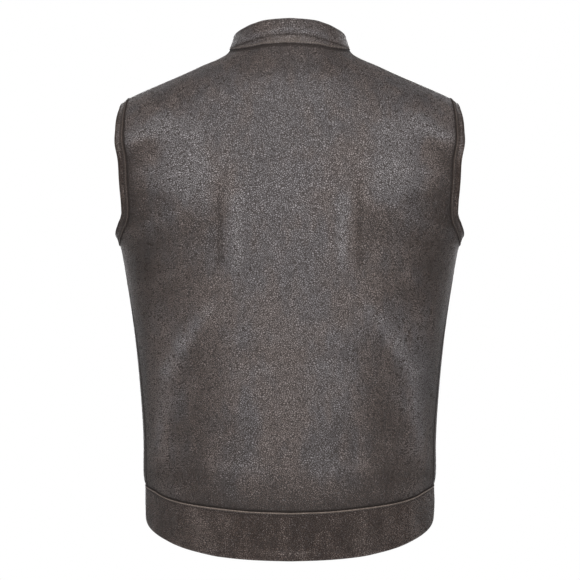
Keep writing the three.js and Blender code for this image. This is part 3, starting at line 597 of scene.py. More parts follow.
@dataclass(frozen=True)
class DistressedHide:
    """Pebbled cowhide, worn and waxed: brown and blue-grey patches, dark crevices and pale grain tops, with
    painted highlight and painted shade laid in from the piece's attributes.
    """

    name: str = "distressed_hide"
    # dark is crevice wax and the colour of painted shade; pale is worn grain tops and painted highlight; tan
    # is a painted highlight on welts and turned edges.
    dark: Colour = (0.017, 0.012, 0.010, 1)
    brown: Colour = (0.092, 0.066, 0.054, 1)
    grey: Colour = (0.085, 0.078, 0.081, 1)
    pale: Colour = (0.199, 0.188, 0.189, 1)
    tan: Colour = (0.33, 0.27, 0.225, 1)
    flesh: Colour = (0.060, 0.048, 0.040, 1)
    fibre: Colour = (0.085, 0.068, 0.056, 1)
    pebbles_per_metre: float = 425
    scatter: float = 0.95
    drift: float = 0.009
    # A shift of the whole piece towards dark: on the band and strips partly painted shade.
    darkening: float = 0.0
    cloudy: float = 0.8
    relief: float = 0.00054

    def stirred(self, n: Nodes) -> Socket:
        """The piece's own coordinates, pushed about by slow noise so that the pebbles lie in no rows.

        Args:
            n: the material's nodes.
        Returns:
            the coordinates.
        """
        slow = n.add("TexNoise", {"Vector": n.place, "Scale": 75.0, "Detail": 1.0}).outputs["Color"]
        shift = n.vector("SUBTRACT", slow, (0.5, 0.5, 0.5))
        return n.vector("ADD", n.place, n.vector("MULTIPLY", shift, (self.drift,) * 3))

    def grain(self, n: Nodes, where: Socket) -> tuple[Socket, Socket, Socket]:
        """The pebbles, as cells with crevices between them.

        Args:
            n: the material's nodes.
            where: the stirred coordinates.
        Returns:
            1 on a pebble and 0 in a crevice, a pebble's domed height, and each pebble's lot from 0 to 1.
        """
        flat = n.vector("MULTIPLY", where, (1.0, 1.0, 1.25))
        scale = {"Vector": flat, "Scale": self.pebbles_per_metre, "Randomness": self.scatter}
        crevice = n.add("TexVoronoi", scale, feature="DISTANCE_TO_EDGE").outputs["Distance"]
        cell = n.add("TexVoronoi", scale, feature="F1").outputs
        dome = n.minus(n.remap(crevice, 0.0, 0.26), n.times(cell["Distance"], 0.45))
        lot = n.add("SeparateColor", {0: cell["Color"]}).outputs[0]
        return n.remap(crevice, 0.01, 0.20), dome, lot

    def colour(self, n: Nodes, pebble: Socket, lot: Socket, patch: Socket, broad: Socket) -> Socket:
        """Brown and grey patches, pale tops where the hide is worn and where painted highlight falls, dark
        wax in crevices, painted shade in seams, grooves and shaded zones, painted highlight in tan on welts.

        Args:
            n: the material's nodes.
            pebble: 1 on a pebble and 0 in a crevice.
            lot: each pebble's lot.
            patch: the small stains.
            broad: the large stains.
        Returns:
            the colour, bare flesh on the inner face.
        """
        # The wear attribute is worn finish and painted light: painted highlight above 0, painted shade below
        # it; below 0 the hide also turns browner.
        wear_and_painted_light = n.attribute("wear_and_painted_light")
        cloud = n.plus(n.times(broad, 0.62), n.times(patch, 0.38))
        warm = n.minus(cloud, n.times(wear_and_painted_light, 0.13))
        tone = n.mix(n.remap(warm, 0.38, 0.60), self.grey, self.brown)
        # Worn pale from the stains and the wear attribute, less the piece's darkening; it carries that
        # attribute's painted highlight and painted shade.
        rub_and_painted_light = n.plus(wear_and_painted_light, n.times(n.minus(patch, 0.5), self.cloudy))
        rub_and_painted_light = n.minus(rub_and_painted_light, self.darkening)
        # The part below 0: dark stains and painted shade, which darken the hide and deepen the crevices.
        left = n.minus(0.0, rub_and_painted_light, clamp=True)
        top = n.times(n.plus(n.times(lot, 0.20), 0.68), pebble)
        # How pale the pebble tops turn: worn grain, and painted highlight where the wear attribute is high.
        share = n.plus(n.times(rub_and_painted_light, 0.70), n.times(left, 0.30))
        tone = n.mix(n.times(top, n.plus(share, 0.38, clamp=True)), tone, self.pale)
        settled = n.times(n.minus(1.0, pebble), n.plus(n.times(left, 1.6), 1.15))
        # Dark wax in the crevices, plus painted shade in the seams and grooves from the seam attribute.
        dirt_and_painted_shade = n.plus(settled, n.times(n.attribute("seam"), 0.85))
        tone = n.mix(n.plus(dirt_and_painted_shade, n.times(left, 0.85), clamp=True), tone, self.dark)
        # Painted highlight in tan on welts and turned edges, from the rim attribute.
        tone = n.mix(n.times(n.attribute("rim"), 0.85), tone, self.tan)
        bare = n.mix(n.noise(n.place, 900.0, 3.0), self.flesh, self.fibre)
        return n.mix(n.attribute("flesh"), tone, bare)

    def make(self) -> bpy.types.Material:
        """Builds the material.

        Returns:
            the material; it reads the attributes seam, wear, rim and flesh.
        """
        material = bpy.data.materials.new(self.name)
        n = Nodes(material)
        where = self.stirred(n)
        pebble, dome, lot = self.grain(n, where)
        tall = n.vector("MULTIPLY", n.place, (1.0, 1.0, 0.45))
        broad, patch = n.noise(tall, 13.0, 3.0, 0.55), n.noise(tall, 52.0, 4.0, 0.62)
        rough = n.plus(n.times(patch, 0.20), n.times(n.minus(1.0, pebble), 0.25))
        rough = n.plus(rough, n.times(n.attribute("flesh"), 0.3))
        rough = n.plus(rough, n.times(n.attribute("seam"), 0.4))
        height = n.plus(dome, n.times(n.noise(n.place, 2600.0, 2.0), 0.16))
        wrinkle = n.remap(n.noise(where, 60.0, 3.0, 0.6), 0.40, 0.54)
        normal = n.bump(height, self.relief, 0.9, n.bump(wrinkle, 0.0012, 0.4))
        n.finish(self.colour(n, pebble, lot, patch, broad), n.plus(rough, 0.24, clamp=True), normal)
        n.shader.inputs["Specular IOR Level"].default_value = 0.42
        return material


@dataclass(frozen=True)
class WaxedThread:
    """Dark bonded thread with a twist along each stitch."""

    name: str = "waxed_thread"
    colour: Colour = (0.035, 0.030, 0.028, 1)
    light: Colour = (0.075, 0.066, 0.060, 1)

    def make(self) -> bpy.types.Material:
        """Builds the material.

        Returns:
            the material, with its colour broken by fine noise.
        """
        material = bpy.data.materials.new(self.name)
        n = Nodes(material)
        fibre = n.noise(n.place, 3200.0, 3.0, 0.7)
        n.finish(n.mix(fibre, self.colour, self.light), 0.55, n.bump(fibre, 0.0001, 0.6))
        return material


@dataclass(frozen=True)
class WovenTape:
    """Black zip tape in a close herringbone weave, drawn on the piece's own run and across attributes."""

    name: str = "woven_tape"
    colour: Colour = (0.010, 0.010, 0.010, 1)
    light: Colour = (0.030, 0.029, 0.028, 1)

    def make(self) -> bpy.types.Material:
        """Builds the material.

        Returns:
            the material; the weave is two crossed waves of threads 0.5 mm wide.
        """
        material = bpy.data.materials.new(self.name)
        n = Nodes(material)
        along = n.math("SINE", n.times(n.attribute("run"), 2 * math.pi / 0.9))
        over = n.math("SINE", n.times(n.attribute("across"), 2 * math.pi / 1.0))
        weave = n.remap(n.times(along, over), -0.7, 0.7)
        n.finish(n.mix(weave, self.colour, self.light), 0.85, n.bump(weave, 0.00015, 0.8))
        return material


@dataclass(frozen=True)
class DarkPlating:
    """Antique gunmetal plating: worn to a paler metal in scuffs, with fine scratches."""

    name: str = "dark_plating"
    colour: Colour = (0.19, 0.176, 0.155, 1)
    worn: Colour = (0.50, 0.46, 0.40, 1)

    def make(self) -> bpy.types.Material:
        """Builds the material.

        Returns:
            the material, metallic all over.
        """
        material = bpy.data.materials.new(self.name)
        n = Nodes(material)
        scuff = n.noise(n.place, 700.0, 4.0, 0.7)
        share = n.remap(scuff, 0.48, 0.72)
        rough = n.plus(n.times(scuff, 0.25), 0.30)
        n.finish(n.mix(share, self.colour, self.worn), rough, n.bump(scuff, 0.00005, 0.5))
        n.shader.inputs["Metallic"].default_value = 1.0
        return material


class Slot(Enum):
    """The record's material slots."""

    HIDE = "hide"
    TRIM = "hide_trim"
    TAPE = "zip_tape"
    METAL = "zip_metal"


@dataclass
class Wardrobe:
    """The finishes, made once, and the calls that dress a piece."""

    hide: bpy.types.Material = field(default_factory=lambda: DistressedHide().make())
    trim: bpy.types.Material = field(
        default_factory=lambda: DistressedHide(name="distressed_trim", darkening=0.14).make()
    )
    # The band and armhole strips share a darker copy of the hide: partly their darker tone, partly painted
    # shade where they curve away from the lights.
    band: bpy.types.Material = field(
        default_factory=lambda: DistressedHide(
            name="distressed_band",
            dark=(0.020, 0.0125, 0.0098, 1),
            brown=(0.104, 0.071, 0.054, 1),
            grey=(0.102, 0.075, 0.061, 1),
            darkening=0.45,
            cloudy=2.2,
            relief=0.0010,
        ).make()
    )
    thread: bpy.types.Material = field(default_factory=lambda: WaxedThread().make())
    tape: bpy.types.Material = field(default_factory=lambda: WovenTape().make())
    metal: bpy.types.Material = field(default_factory=lambda: DarkPlating().make())

    def dress(
        self, piece: bpy.types.Object, material: bpy.types.Material, body: str = "vest"
    ) -> bpy.types.Object:
        """Gives a piece its finish and the body it moves with.

        Args:
            piece: the object.
            material: its finish.
            body: the CAD body it rides on.
        Returns:
            the piece.
        """
        piece.data.materials.clear()
        piece.data.materials.append(material)
        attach(piece, body)
        LOG.info("%s: %d faces, rides on %s", piece.name, len(piece.data.polygons), body)
        return piece


@dataclass
class Leather:
    """What all leather pieces share: a wall on the form whose edges round over into the seams."""

    thickness: float = 2.0
    edge_roll: float = 2.4
    edge_drop: float = 0.8
    pucker: float = 0.16
    pucker_length: float = 8.5
    second_length: float = 13.7
    pucker_reach: float = 7.0
    hem_tuck: float = 2.6
    hem_reach: float = 17.0
    neck_hold: float = 5.0
    side_dark: float = 0.42
    side_middle: float = 8.0
    side_spread: float = 42.0

    def rolled(self, distance: Array) -> Array:
        """How far the outer face sinks near a seam: a quarter round of the edge's roll."""
        t = np.clip(distance / self.edge_roll, 0, 1)
        return -self.edge_drop * (1 - np.sqrt(np.clip(1 - (1 - t) ** 2, 0, 1)))

    def puckered(self, distance: Array, along: Array) -> Array:
        """Small ripples that a row of stitches draws in: two waves along the seam that die away from it.

        Args:
            distance: from the nearest seam.
            along: run along the seam.
        Returns:
            lifts of the outer face.
        """
        near = bell(distance, 0, self.pucker_reach) * np.clip(distance / 1.5, 0, 1)
        wave = np.sin(along * 2 * math.pi / self.pucker_length)
        wave = wave + 0.6 * np.sin(along * 2 * math.pi / self.second_length + 1.3)
        return self.pucker * near * wave

    def tucked(self, angle: Array, z: Array) -> Array:
        """The panel's fullness over the band: a bell above the hem seam that sinks back to the seam.

        Args:
            angle: degrees from the centre back.
            z: heights.
        Returns:
            lifts of the outer face.
        """
        above = np.maximum(0, z - FORM.hem_seam(np.abs(angle))) / self.hem_reach
        swell = self.hem_tuck * above * np.exp(1 - above) * bell(above, 0, 4)
        return swell - 0.1 * np.exp(-above * 3)

    def neck_distance(self, points: Array) -> Array:
        """Distance from the neck seam: the least distance from a dense row of its points.

        Args:
            points: a grid of points.
        Returns:
            the distances, as a grid.
        """
        turn = np.linspace(-180, 180, 181)
        angle, z = FORM.neck_place(np.abs(turn))
        seam = FORM.skin(angle, z) * np.stack([np.sign(turn), np.ones(181), np.ones(181)], 1)
        return np.linalg.norm(points[..., None, :] - seam, axis=-1).min(-1)

    def side_shade(self, points: Array) -> Array:
        """Painted shade round the side seams, where the form turns from the lights: a bell about the middle
        plane, from below the underarm down.
        """
        below = np.clip((FORM.underarm_z - points[..., 2]) / 40, 0, 1)
        return self.side_dark * below * bell(points[..., 1], self.side_middle, self.side_spread)

    def surface(self, name: str, angle: Array, z: Array, relief: Array) -> bpy.types.Object:
        """Makes the wall from a grid of places on the form.

        Args:
            name: the piece's name.
            angle: grid of angles, rising along each row.
            z: grid of heights, rising from row to row.
            relief: grid of small lifts of the outer face.
        Returns:
            the wall, with the attributes seam (painted shade along the seams and under the collar) and
            wear_and_painted_light.
        """
        base = FORM.skin(angle, z)
        distance = edge_distance(base)
        out = FORM.normal(angle, z, True)
        along = run_lengths(base, 0) + run_lengths(base, 1)
        fine = FORM.spread_of(BACK_CREASES, FRONT_CREASES, angle, z) * np.clip(distance / 12, 0, 1)
        neck = self.neck_distance(base)
        edges = self.rolled(distance) + self.puckered(distance, along)
        lift = relief + fine + edges * (1 - bell(neck, 0, self.neck_hold, 4))
        outer = base + out * lift[..., None]
        inner = base - out * np.maximum(self.thickness, 0.25 - lift)[..., None]
        # Fold crests paler and troughs darker: partly worn finish, partly painted shading of the folds.
        fold_rub_and_shading = FORM.spread_of(BACK_FOLDS, FRONT_FOLDS, angle, z) / 9 + fine / 3
        # The wear attribute: the tables' worn finish and painted light, the fold shading, and painted shade
        # at the sides.
        wear_and_painted_light = FORM.spread_of(BACK_WEAR_AND_PAINTED_LIGHT, FRONT_WEAR_AND_PAINTED_LIGHT, angle, z) + fold_rub_and_shading - self.side_shade(base)
        # Darker along the edges, painted shade in the seam gaps, and the painted shadow under the collar's
        # foot.
        seam = bell(distance, 0, 2.2, 4) + 0.3 * bell(distance, 0, 8) + bell(neck, 0, 3.8, 4)
        return wall_object(name, outer, inner, {"seam": np.clip(seam, 0, 1), "wear_and_painted_light": wear_and_painted_light})


@dataclass
class BackPanel(Leather):
    """The back, cut in one piece from the hem seam to the neck and shoulder seams."""

    columns: int = 150
    side_rows: int = 104
    arm_rows: int = 66
    shoulder_rows: int = 26

    def places(self) -> tuple[Array, Array]:
        """Angles and heights of the grid.

        Below the underarm a row rises evenly from the curved hem seam; beside the armhole its ends follow
        the cosine spacing of the edge and its middle runs evenly; above it runs up to the neck seam.

        Returns:
            the grid of angles and the grid of heights.
        """
        half = 1 - even_with_close_ends(self.columns // 2, 235, both=False)
        share = np.concatenate([-half, half[::-1][1:]])
        t = even_with_close_ends(self.side_rows, 320, both=False)[:-1, None]
        foot_z = FORM.hem_seam(80.0) + FORM.seam_gap
        side_z = foot_z + (FORM.underarm_z - foot_z) * t
        side = (FORM.side_angle(side_z) - FORM.gap_angle(side_z)) * share
        foot = FORM.hem_seam(np.abs(side)) + FORM.seam_gap / 2
        side_z = foot + (FORM.underarm_z - foot) * t
        t = np.linspace(0, 1, self.arm_rows)[:, None]
        edge_z = FORM.armhole_heights(t)
        even_z = FORM.underarm_z + (FORM.tip_z - FORM.underarm_z) * t
        arm = FORM.armhole_angle(edge_z, True) * share
        arm_z = even_z + (edge_z - even_z) * np.abs(share) ** 6
        t = (1 - even_with_close_ends(self.shoulder_rows, 64, both=False)[::-1])[1:, None]
        top = (90 - FORM.gap_angle(FORM.tip_z * (1 - t))) * share
        top_z = FORM.tip_z + (FORM.neck_seam(np.abs(top)) - FORM.tip_z) * t
        return np.concatenate([side, arm, top]), np.concatenate([side_z, arm_z, top_z])

    def build(self, wardrobe: Wardrobe) -> None:
        """Makes and dresses the piece.

        Args:
            wardrobe: the finishes.
        """
        angle, z = self.places()
        piece = self.surface("back_leather", angle, z, self.tucked(angle, z))
        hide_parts("back_panel")
        wardrobe.dress(piece, wardrobe.hide)


@dataclass
class FrontPanel(Leather):
    """One front, from the side seam and armhole to the zip and the neck."""

    columns: int = 84
    side_rows: int = 104
    arm_rows: int = 84
    neck_share: float = 0.56

    def places(self) -> tuple[Array, Array]:
        """Angles and heights of the left front's grid: rows fan from the side edge to the zip and neck edges.

        Returns:
            the grid of angles and the grid of heights.
        """
        share = even_with_close_ends(self.columns, 225)
        low = even_with_close_ends(self.side_rows, 320, both=False)[:-1]
        high = np.linspace(0, 1, self.arm_rows)
        foot_z = float(FORM.hem_seam(80.0)) + FORM.seam_gap
        side_z = foot_z + (FORM.underarm_z - foot_z) * low
        arm_z = FORM.armhole_heights(high)
        even_z = FORM.underarm_z + (FORM.tip_z - FORM.underarm_z) * high
        edge_z = np.concatenate([side_z, arm_z])
        side = FORM.side_angle(side_z) + FORM.gap_angle(side_z)
        edge = np.concatenate([side, FORM.armhole_angle(arm_z, False)])
        even = np.concatenate([side_z, even_z])
        rows = len(edge_z)
        neck_rows = int(self.arm_rows * self.neck_share)
        up = np.linspace(0, 1, rows - neck_rows + 1)
        zip_z = FORM.hem_seam(180.0) + (FORM.neck_seam(180.0) - FORM.hem_seam(180.0)) * up
        turn = np.linspace(FORM.neck_front_turn(), 90, neck_rows)[1:]
        neck, neck_z = FORM.neck_place(turn)
        neck[-1] = 90 + FORM.gap_angle(0)
        centre = np.concatenate([FORM.angle_at(FORM.front_edge, zip_z, False), neck])
        centre_z = np.concatenate([zip_z, neck_z])
        angle = edge[:, None] + (centre - edge)[:, None] * share
        z = even[:, None] + (centre_z - even)[:, None] * share
        z += (edge_z - even)[:, None] * (1 - share) ** 7
        rise = np.clip((z - z[:1]) / 40, 0, 1)
        foot = FORM.hem_seam(angle) + FORM.seam_gap / 2
        return angle, z + (foot[:1] - z[:1]) * (1 - rise) ** 2

    def build(self, wardrobe: Wardrobe, side: Side) -> None:
        """Makes and dresses one front.

        Args:
            wardrobe: the finishes.
            side: the wearer's left or right.
        """
        angle, z = self.places()
        if side is Side.RIGHT:
            angle, z = -angle[:, ::-1], z[:, ::-1]
        piece = self.surface("front_leather_" + side.value, angle, z, self.tucked(angle, z))
        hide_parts("front_panel_" + side.value)
        wardrobe.dress(piece, wardrobe.hide)


@dataclass
class FoldedProfile:
    """The cut across a strip of leather folded double: down the outside, round the fold and up the inside."""

    total: float = 3.0
    ply: float = 1.25
    turned_edge: float = 1.4
    camber: float = 0.0
    welt: float = 0.45
    welt_share: float = 0.45
    welt_spread: float = 0.8
    groove_spread: float = 0.55
    edge_round: float = 0.9

    def sides(self, width: float, steps: int, groove: float, depth: float) -> tuple[Array, Array]:
        """The outer and inner line of the folded ply.

        Args:
            width: from the seam to the fold.
            steps: points down each side.
            groove: distance of the stitch groove from the seam, or 0 for none.
            depth: depth of that groove.
        Returns:
            two lists of points (distance from the seam, lift above the middle of the strip).
        """
        radius = self.total / 2
        t = even_with_close_ends(steps, width)
        down = t * (width - radius)
        roll = np.clip(down / self.turned_edge, 0, 1)
        face = radius - self.edge_round * (1 - np.sqrt(1 - (1 - roll) ** 2))
        face = face - self.camber * (down / width) ** 2
        if groove:
            face = face - depth * bell(down, groove, self.groove_spread)
            face = face + self.welt * bell(down, groove * self.welt_share, self.welt_spread)
        turn = np.linspace(90, -90, 11)[1:-1] * RADIAN
        round_a, round_b = width - radius + radius * np.cos(turn), radius * np.sin(turn)
        flat = np.ones(len(down))
        outer = np.stack([np.r_[down, round_a, down[::-1]], np.r_[face, round_b, -radius * flat]], 1)
        small = radius - self.ply
        inside = np.clip(face - self.ply, 0.05, small)
        inner_a, inner_b = width - radius + small * np.cos(turn), small * np.sin(turn)
        inner = np.stack([np.r_[down, inner_a, down[::-1]], np.r_[inside, inner_b, -small * flat]], 1)
        return outer, inner


@dataclass
class HemBand:
    """The band round the hem, folded at its lower edge, in three pieces joined at the side seams."""

    profile: FoldedProfile = field(default_factory=FoldedProfile)
    nominal: float = 60.0
    side_z: float = -600.0
    proud: float = 0.8
    groove: float = 3.0
    groove_depth: float = 0.55
    swell: float = 0.9
    steps: int = 20

    def wave(self, angle: Array) -> Array:
        """The band's uneven fullness: three long waves of different lengths round the hem."""
        return np.sin(angle * 0.153 + 0.8) + 0.7 * np.sin(angle * 0.311 + 2.1) + 0.4 * np.sin(angle * 0.57)

    def lengths(self, angle: Array) -> tuple[Array, Array]:
        """Heights of the seam and of the lower edge at each angle."""
        top = FORM.hem_seam(np.abs(angle)) - FORM.seam_gap / 2
        return top, FORM.hem_bottom(np.abs(angle))

    def point(self, angle: Array, down: Array, lift: Array) -> Array:
        """Points of the band: down is the share of its height below the seam, lift is above the skin."""
        top, bottom = self.lengths(angle)
        return FORM.lifted(angle, top + (bottom - top) * down, lift)

    def piece(self, name: str, start: float, end: float, columns: int) -> bpy.types.Object:
        """One stretch of the band between two angles.

        Args:
            name: the piece's name.
            start: first angle.
            end: last angle.
            columns: steps between them.
        Returns:
            the piece.
        """
        outer, inner = self.profile.sides(self.nominal, self.steps, self.groove, self.groove_depth)
        share = even_with_close_ends(columns, abs(end - start) * 2.6)
        angle = (start + (end - start) * share)[None, :]
        middle = self.proud - self.profile.total / 2
        walls = []
        for line in (outer, inner):
            swell = self.swell * np.sin(line[:, :1] / self.nominal * math.pi) * self.wave(angle)
            down, lift = line[:, :1] / self.nominal + 0 * angle, line[:, 1:] + middle + swell
            walls.append(self.point(angle + 0 * down, down, lift))
        rows = slice(None, None, -1)
        distance = edge_distance(walls[0][rows])
        down = (outer[:, :1] + 0 * angle)[rows]
        # Painted shade along the band's edges and in its stitch groove; the rim is a painted highlight on the
        # welt above the groove.
        seam = 0.9 * bell(distance, 0, 0.9) + bell(down, self.groove, 1.2)
        rim = 0.9 * bell(down, self.groove * 0.42, 0.5) * (outer[rows, 1:] > 0) + 0 * angle
        # Painted highlight at the folded lower edge and low in the middle of the back, brightness following
        # the band's swell, and darker across the back's middle.
        wear_and_painted_light = 0.4 * bell(down, self.nominal, 2.5) + 0.09 * self.wave(angle)
        wear_and_painted_light = wear_and_painted_light - 0.34 * bell(angle, 0, 34, 4) + 0.6 * bell(down, 50, 4) * bell(angle, 0, 18, 4)
        values = {"seam": np.clip(seam, 0, 1), "wear_and_painted_light": wear_and_painted_light, "rim": rim}
        return wall_object(name, walls[0][rows], walls[1][rows], values)

    def stretches(self, gap: float) -> dict[str, tuple[float, float]]:
        """First and last angle of the band's three stretches.

        Args:
            gap: degrees held back from the side seams.
        Returns:
            pairs of angles by the stretch's name.
        """
        z = np.array(self.side_z)
        side, edge = float(FORM.side_angle(z)), float(FORM.angle_at(FORM.front_edge, z, False))
        return {
            "back": (-side + gap, side - gap),
            "front_left": (side + gap, edge),
            "front_right": (-edge, -side - gap),
        }

    def build(self, wardrobe: Wardrobe) -> None:
        """Makes and dresses the three pieces.

        Args:
            wardrobe: the finishes.
        """
        for key, (start, end) in self.stretches(float(FORM.gap_angle(np.array(self.side_z)))).items():
            behind = key == "back"
            piece = self.piece("band_leather_" + key, start, end, 190 if behind else 100)
            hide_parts("hem_band_" + key)
            wardrobe.dress(piece, wardrobe.band)


@dataclass
class Collar:
    """Short stand collar, folded at its top edge, with a crease where it rolls over its stand."""

    profile: FoldedProfile = field(default_factory=FoldedProfile)
    proud: float = 1.2
    nominal: float = 34.0
    corner: float = 11.0
    neck_gap: float = 0.02
    top_row: float = 3.2
    base_row: float = 3.4
    crease_depth: float = 1.2
    crease_spread: float = 1.4
    roll_height: float = 0.7
    roll_above: float = 6.0
    roll_spread: float = 5.0
    stand_depth: float = 0.7
    stand_step: float = 0.6
    steps: int = 16
    back_columns: int = 110
    front_columns: int = 56

    def stations(self) -> dict[str, Array]:
        """Frames along the neck seam: foot, direction up the collar, outward face and height.

        Returns:
            arrays by name, one row for each station from the right front edge to the left one.
        """
        half_back = np.linspace(0, 90, self.back_columns // 2)
        half_front = 90 + (FORM.neck_front_turn() - 90) * even_with_close_ends(self.front_columns, 115)[6:]
        half = np.concatenate([half_back, half_front])
        angle, z = FORM.neck_place(half)
        seam = FORM.skin(angle, z)
        to_end = run_lengths(seam[None], 1)[0]
        to_end = to_end[-1] - to_end
        short = np.maximum(0, 1 - to_end / self.corner)
        height = FORM.collar_height(half) - self.corner * (1 - np.sqrt(1 - short**2 * 0.96))
        lean = FORM.collar_lean(half)
        flat = seam * np.array([1, 1, 0])
        outward = flat / np.linalg.norm(flat, axis=1, keepdims=True)
        up = np.array([0, 0, 1]) - outward * lean[:, None]
        up /= np.linalg.norm(up, axis=1, keepdims=True)
        face = outward - up * (outward * up).sum(1, keepdims=True)
        face /= np.linalg.norm(face, axis=1, keepdims=True)
        flip = np.array([-1, 1, 1])
        both = {"foot": seam, "up": up, "face": face}
        made = {k: np.concatenate([(v * flip)[:0:-1], v]) for k, v in both.items()}
        made["height"] = np.concatenate([height[:0:-1], height])
        made["turn"] = np.concatenate([-half[:0:-1], half])
        return made

    def crease_level(self, turn: Array) -> Array:
        """Height of the crease above the neck seam: a parabola that falls towards the sides."""
        return 12.5 - 7.5 * (np.abs(turn) / 62) ** 2

    def crease(self, turn: Array, up: Array) -> Array:
        """The roll over the stand: a groove at the crease, a swell above it and a sunk stand below it.

        Args:
            turn: degrees round the neck.
            up: heights above the neck seam.
        Returns:
            lifts of the outer face, none at the sides.
        """
        level = self.crease_level(turn)
        strength = np.clip(1 - (np.abs(turn) / 78) ** 3, 0, 1)
        below = 1 / (1 + np.exp(np.clip((up - level) / self.stand_step, -30, 30)))
        groove = bell(up, level, self.crease_spread)
        roll = bell(up, level + self.roll_above, self.roll_spread)
        return strength * (self.roll_height * roll - self.crease_depth * groove - self.stand_depth * below)

    def marks(self, wall: Array, outer: Array, turn: Array, height: Array) -> dict[str, Array]:
        """Painted shade along the edges, in the crease and in the top row's groove; painted highlight on the
        roll above the crease and on the foot's turned edge; paler along the folded top.

        Args:
            wall: grid of points on the outer face.
            outer: the profile's outer line.
            turn: degrees round the neck, one row.
            height: the collar's height there, one row.
        Returns:
            the attributes seam, wear_and_painted_light and rim.
        """
        up = self.neck_gap + (height - self.neck_gap) * outer[:, :1] / self.nominal
        shown, level = outer[:, 1:] > 0, self.crease_level(turn)
        # Painted shade in the crease and in the groove of the top row.
        lines = 0.9 * bell(up, level, 1.1) + 0.6 * bell(up, height - self.top_row, 0.7)
        seam = bell(edge_distance(wall), 0, 2.0, 4) + lines * shown
        # A painted highlight on the turned edge above the foot, and a faint tan in the middle of the stand.
        rim = (0.35 * bell(up, 3.2, 0.8) + 0.12 * bell(up, 6.5, 4) * bell(turn, 0, 22, 4)) * shown
        # A painted highlight on the roll above the crease, and paler along the folded top.
        wear_and_painted_light = 0.35 * bell(up, level + 5, 3.5) + 0.2 * bell(up, height, 1.6)
        return {"seam": np.clip(seam, 0, 1), "wear_and_painted_light": wear_and_painted_light, "rim": rim}

    def build(self, wardrobe: Wardrobe) -> None:
        """Makes and dresses the collar.

        Args:
            wardrobe: the finishes.
        """
        s = self.stations()
        outer, inner = self.profile.sides(self.nominal, self.steps, 0, 0)
        walls = []
        turn, height = s["turn"][None, :], s["height"][None, :]
        for line in (outer, inner):
            rise = self.neck_gap + (height - self.neck_gap) * line[:, :1] / self.nominal
            lift = line[:, 1:] + self.proud - self.profile.total / 2 + 0 * turn
            lift = lift + np.where(line[:, 1:] > 0, 1, 0) * self.crease(turn, rise)
            along = s["foot"][None] + s["up"][None] * rise[..., None]
            walls.append(along + s["face"][None] * lift[..., None])
        piece = wall_object("collar_leather", walls[0], walls[1], self.marks(walls[0], outer, turn, height))
        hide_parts("collar")
        wardrobe.dress(piece, wardrobe.trim)


@dataclass
class ArmholeStrip:
    """The strip folded round one armhole, sewn to the panels' edge; its ends meet under the arm."""

    profile: FoldedProfile = field(default_factory=lambda: FoldedProfile(total=3.2, camber=0.8))
    width: float = 13.0
    proud: float = 0.7
    droop: float = 9.0
    droop_reach: float = 46.0
    groove: float = 3.4
    groove_depth: float = 0.8
    highlight_z: float = -128.0
    highlight_spread: float = 26.0
    steps: int = 9
    half_columns: int = 130

    def frames(self) -> dict[str, Array]:
        """Frames along the left armhole's edge, from under the arm up behind, over the tip and down in front.

        Returns:
            arrays by name: edge, run, across (towards the hole) and out.
        """
        z = FORM.armhole_heights(np.linspace(0, 1, self.half_columns))
        back, front = FORM.armhole_angle(z, True), FORM.armhole_angle(z, False)
        angle = np.concatenate([back, front[-2::-1]])
        z = np.concatenate([z, z[-2::-1]])
        edge = FORM.skin(angle, z)
        closed = np.concatenate([edge[-2:-1], edge, edge[1:2]])
        run = closed[2:] - closed[:-2]
        run /= np.linalg.norm(run, axis=1, keepdims=True)
        out = FORM.normal(angle, z, True)
        across = np.cross(run, out)
        across /= np.linalg.norm(across, axis=1, keepdims=True)
        middle = np.array([0, 0, (FORM.tip_z + FORM.underarm_z) / 2])
        hole = middle + np.stack([edge[:, 0] + 20, 0 * z, 0 * z], 1) - edge
        across *= np.sign((across * hole).sum(1, keepdims=True))
        tilt = np.maximum(0, 1 - (FORM.tip_z - z) / self.droop_reach) * self.droop * RADIAN
        cos, sin = np.cos(tilt)[:, None], np.sin(tilt)[:, None]
        across, out = across * cos - out * sin, out * cos + across * sin
        return {"edge": edge, "run": run, "across": across, "out": out}

    def build(self, wardrobe: Wardrobe, side: Side) -> None:
        """Makes and dresses one strip.

        Args:
            wardrobe: the finishes.
            side: the wearer's left or right.
        """
        f = self.frames()
        outer, inner = self.profile.sides(self.width, self.steps, self.groove, self.groove_depth)
        walls = []
        for line in (outer, inner):
            across = FORM.seam_gap + line[:, :1, None]
            lift = line[:, 1:, None] + self.proud - self.profile.total / 2
            wall = f["edge"][None] + f["across"][None] * across + f["out"][None] * lift
            wall[:, 0] += f["run"][0] * FORM.seam_gap / 2
            wall[:, -1] -= f["run"][-1] * FORM.seam_gap / 2
            walls.append(mirrored(wall) if side is Side.RIGHT else wall)
        down = outer[:, :1] + 0 * walls[0][..., 0]
        # Painted shade along the strip's edges and in its stitch groove; the rim is a painted highlight on
        # the welt beside the seam.
        seam = bell(edge_distance(walls[0]), 0, 1.9) + bell(down, self.groove, 0.9)
        rim = 0.3 * bell(down, self.groove * 0.5, 0.45) * (outer[:, 1:] > 0)
        # A painted highlight along the strip's crown, strongest near the shoulder, and painted shade lower
        # down.
        high = bell(walls[0][..., 2], self.highlight_z, self.highlight_spread)
        wear_and_painted_light = (0.4 + 0.9 * high) * bell(down, self.width * 0.6, 2.0) - 0.3 * (1 - high)
        values = {"seam": np.clip(seam, 0, 1), "wear_and_painted_light": wear_and_painted_light, "rim": rim}
        piece = wall_object("armhole_leather_" + side.value, walls[0], walls[1], values)
        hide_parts("armhole_strip_" + side.value)
        wardrobe.dress(piece, wardrobe.band)


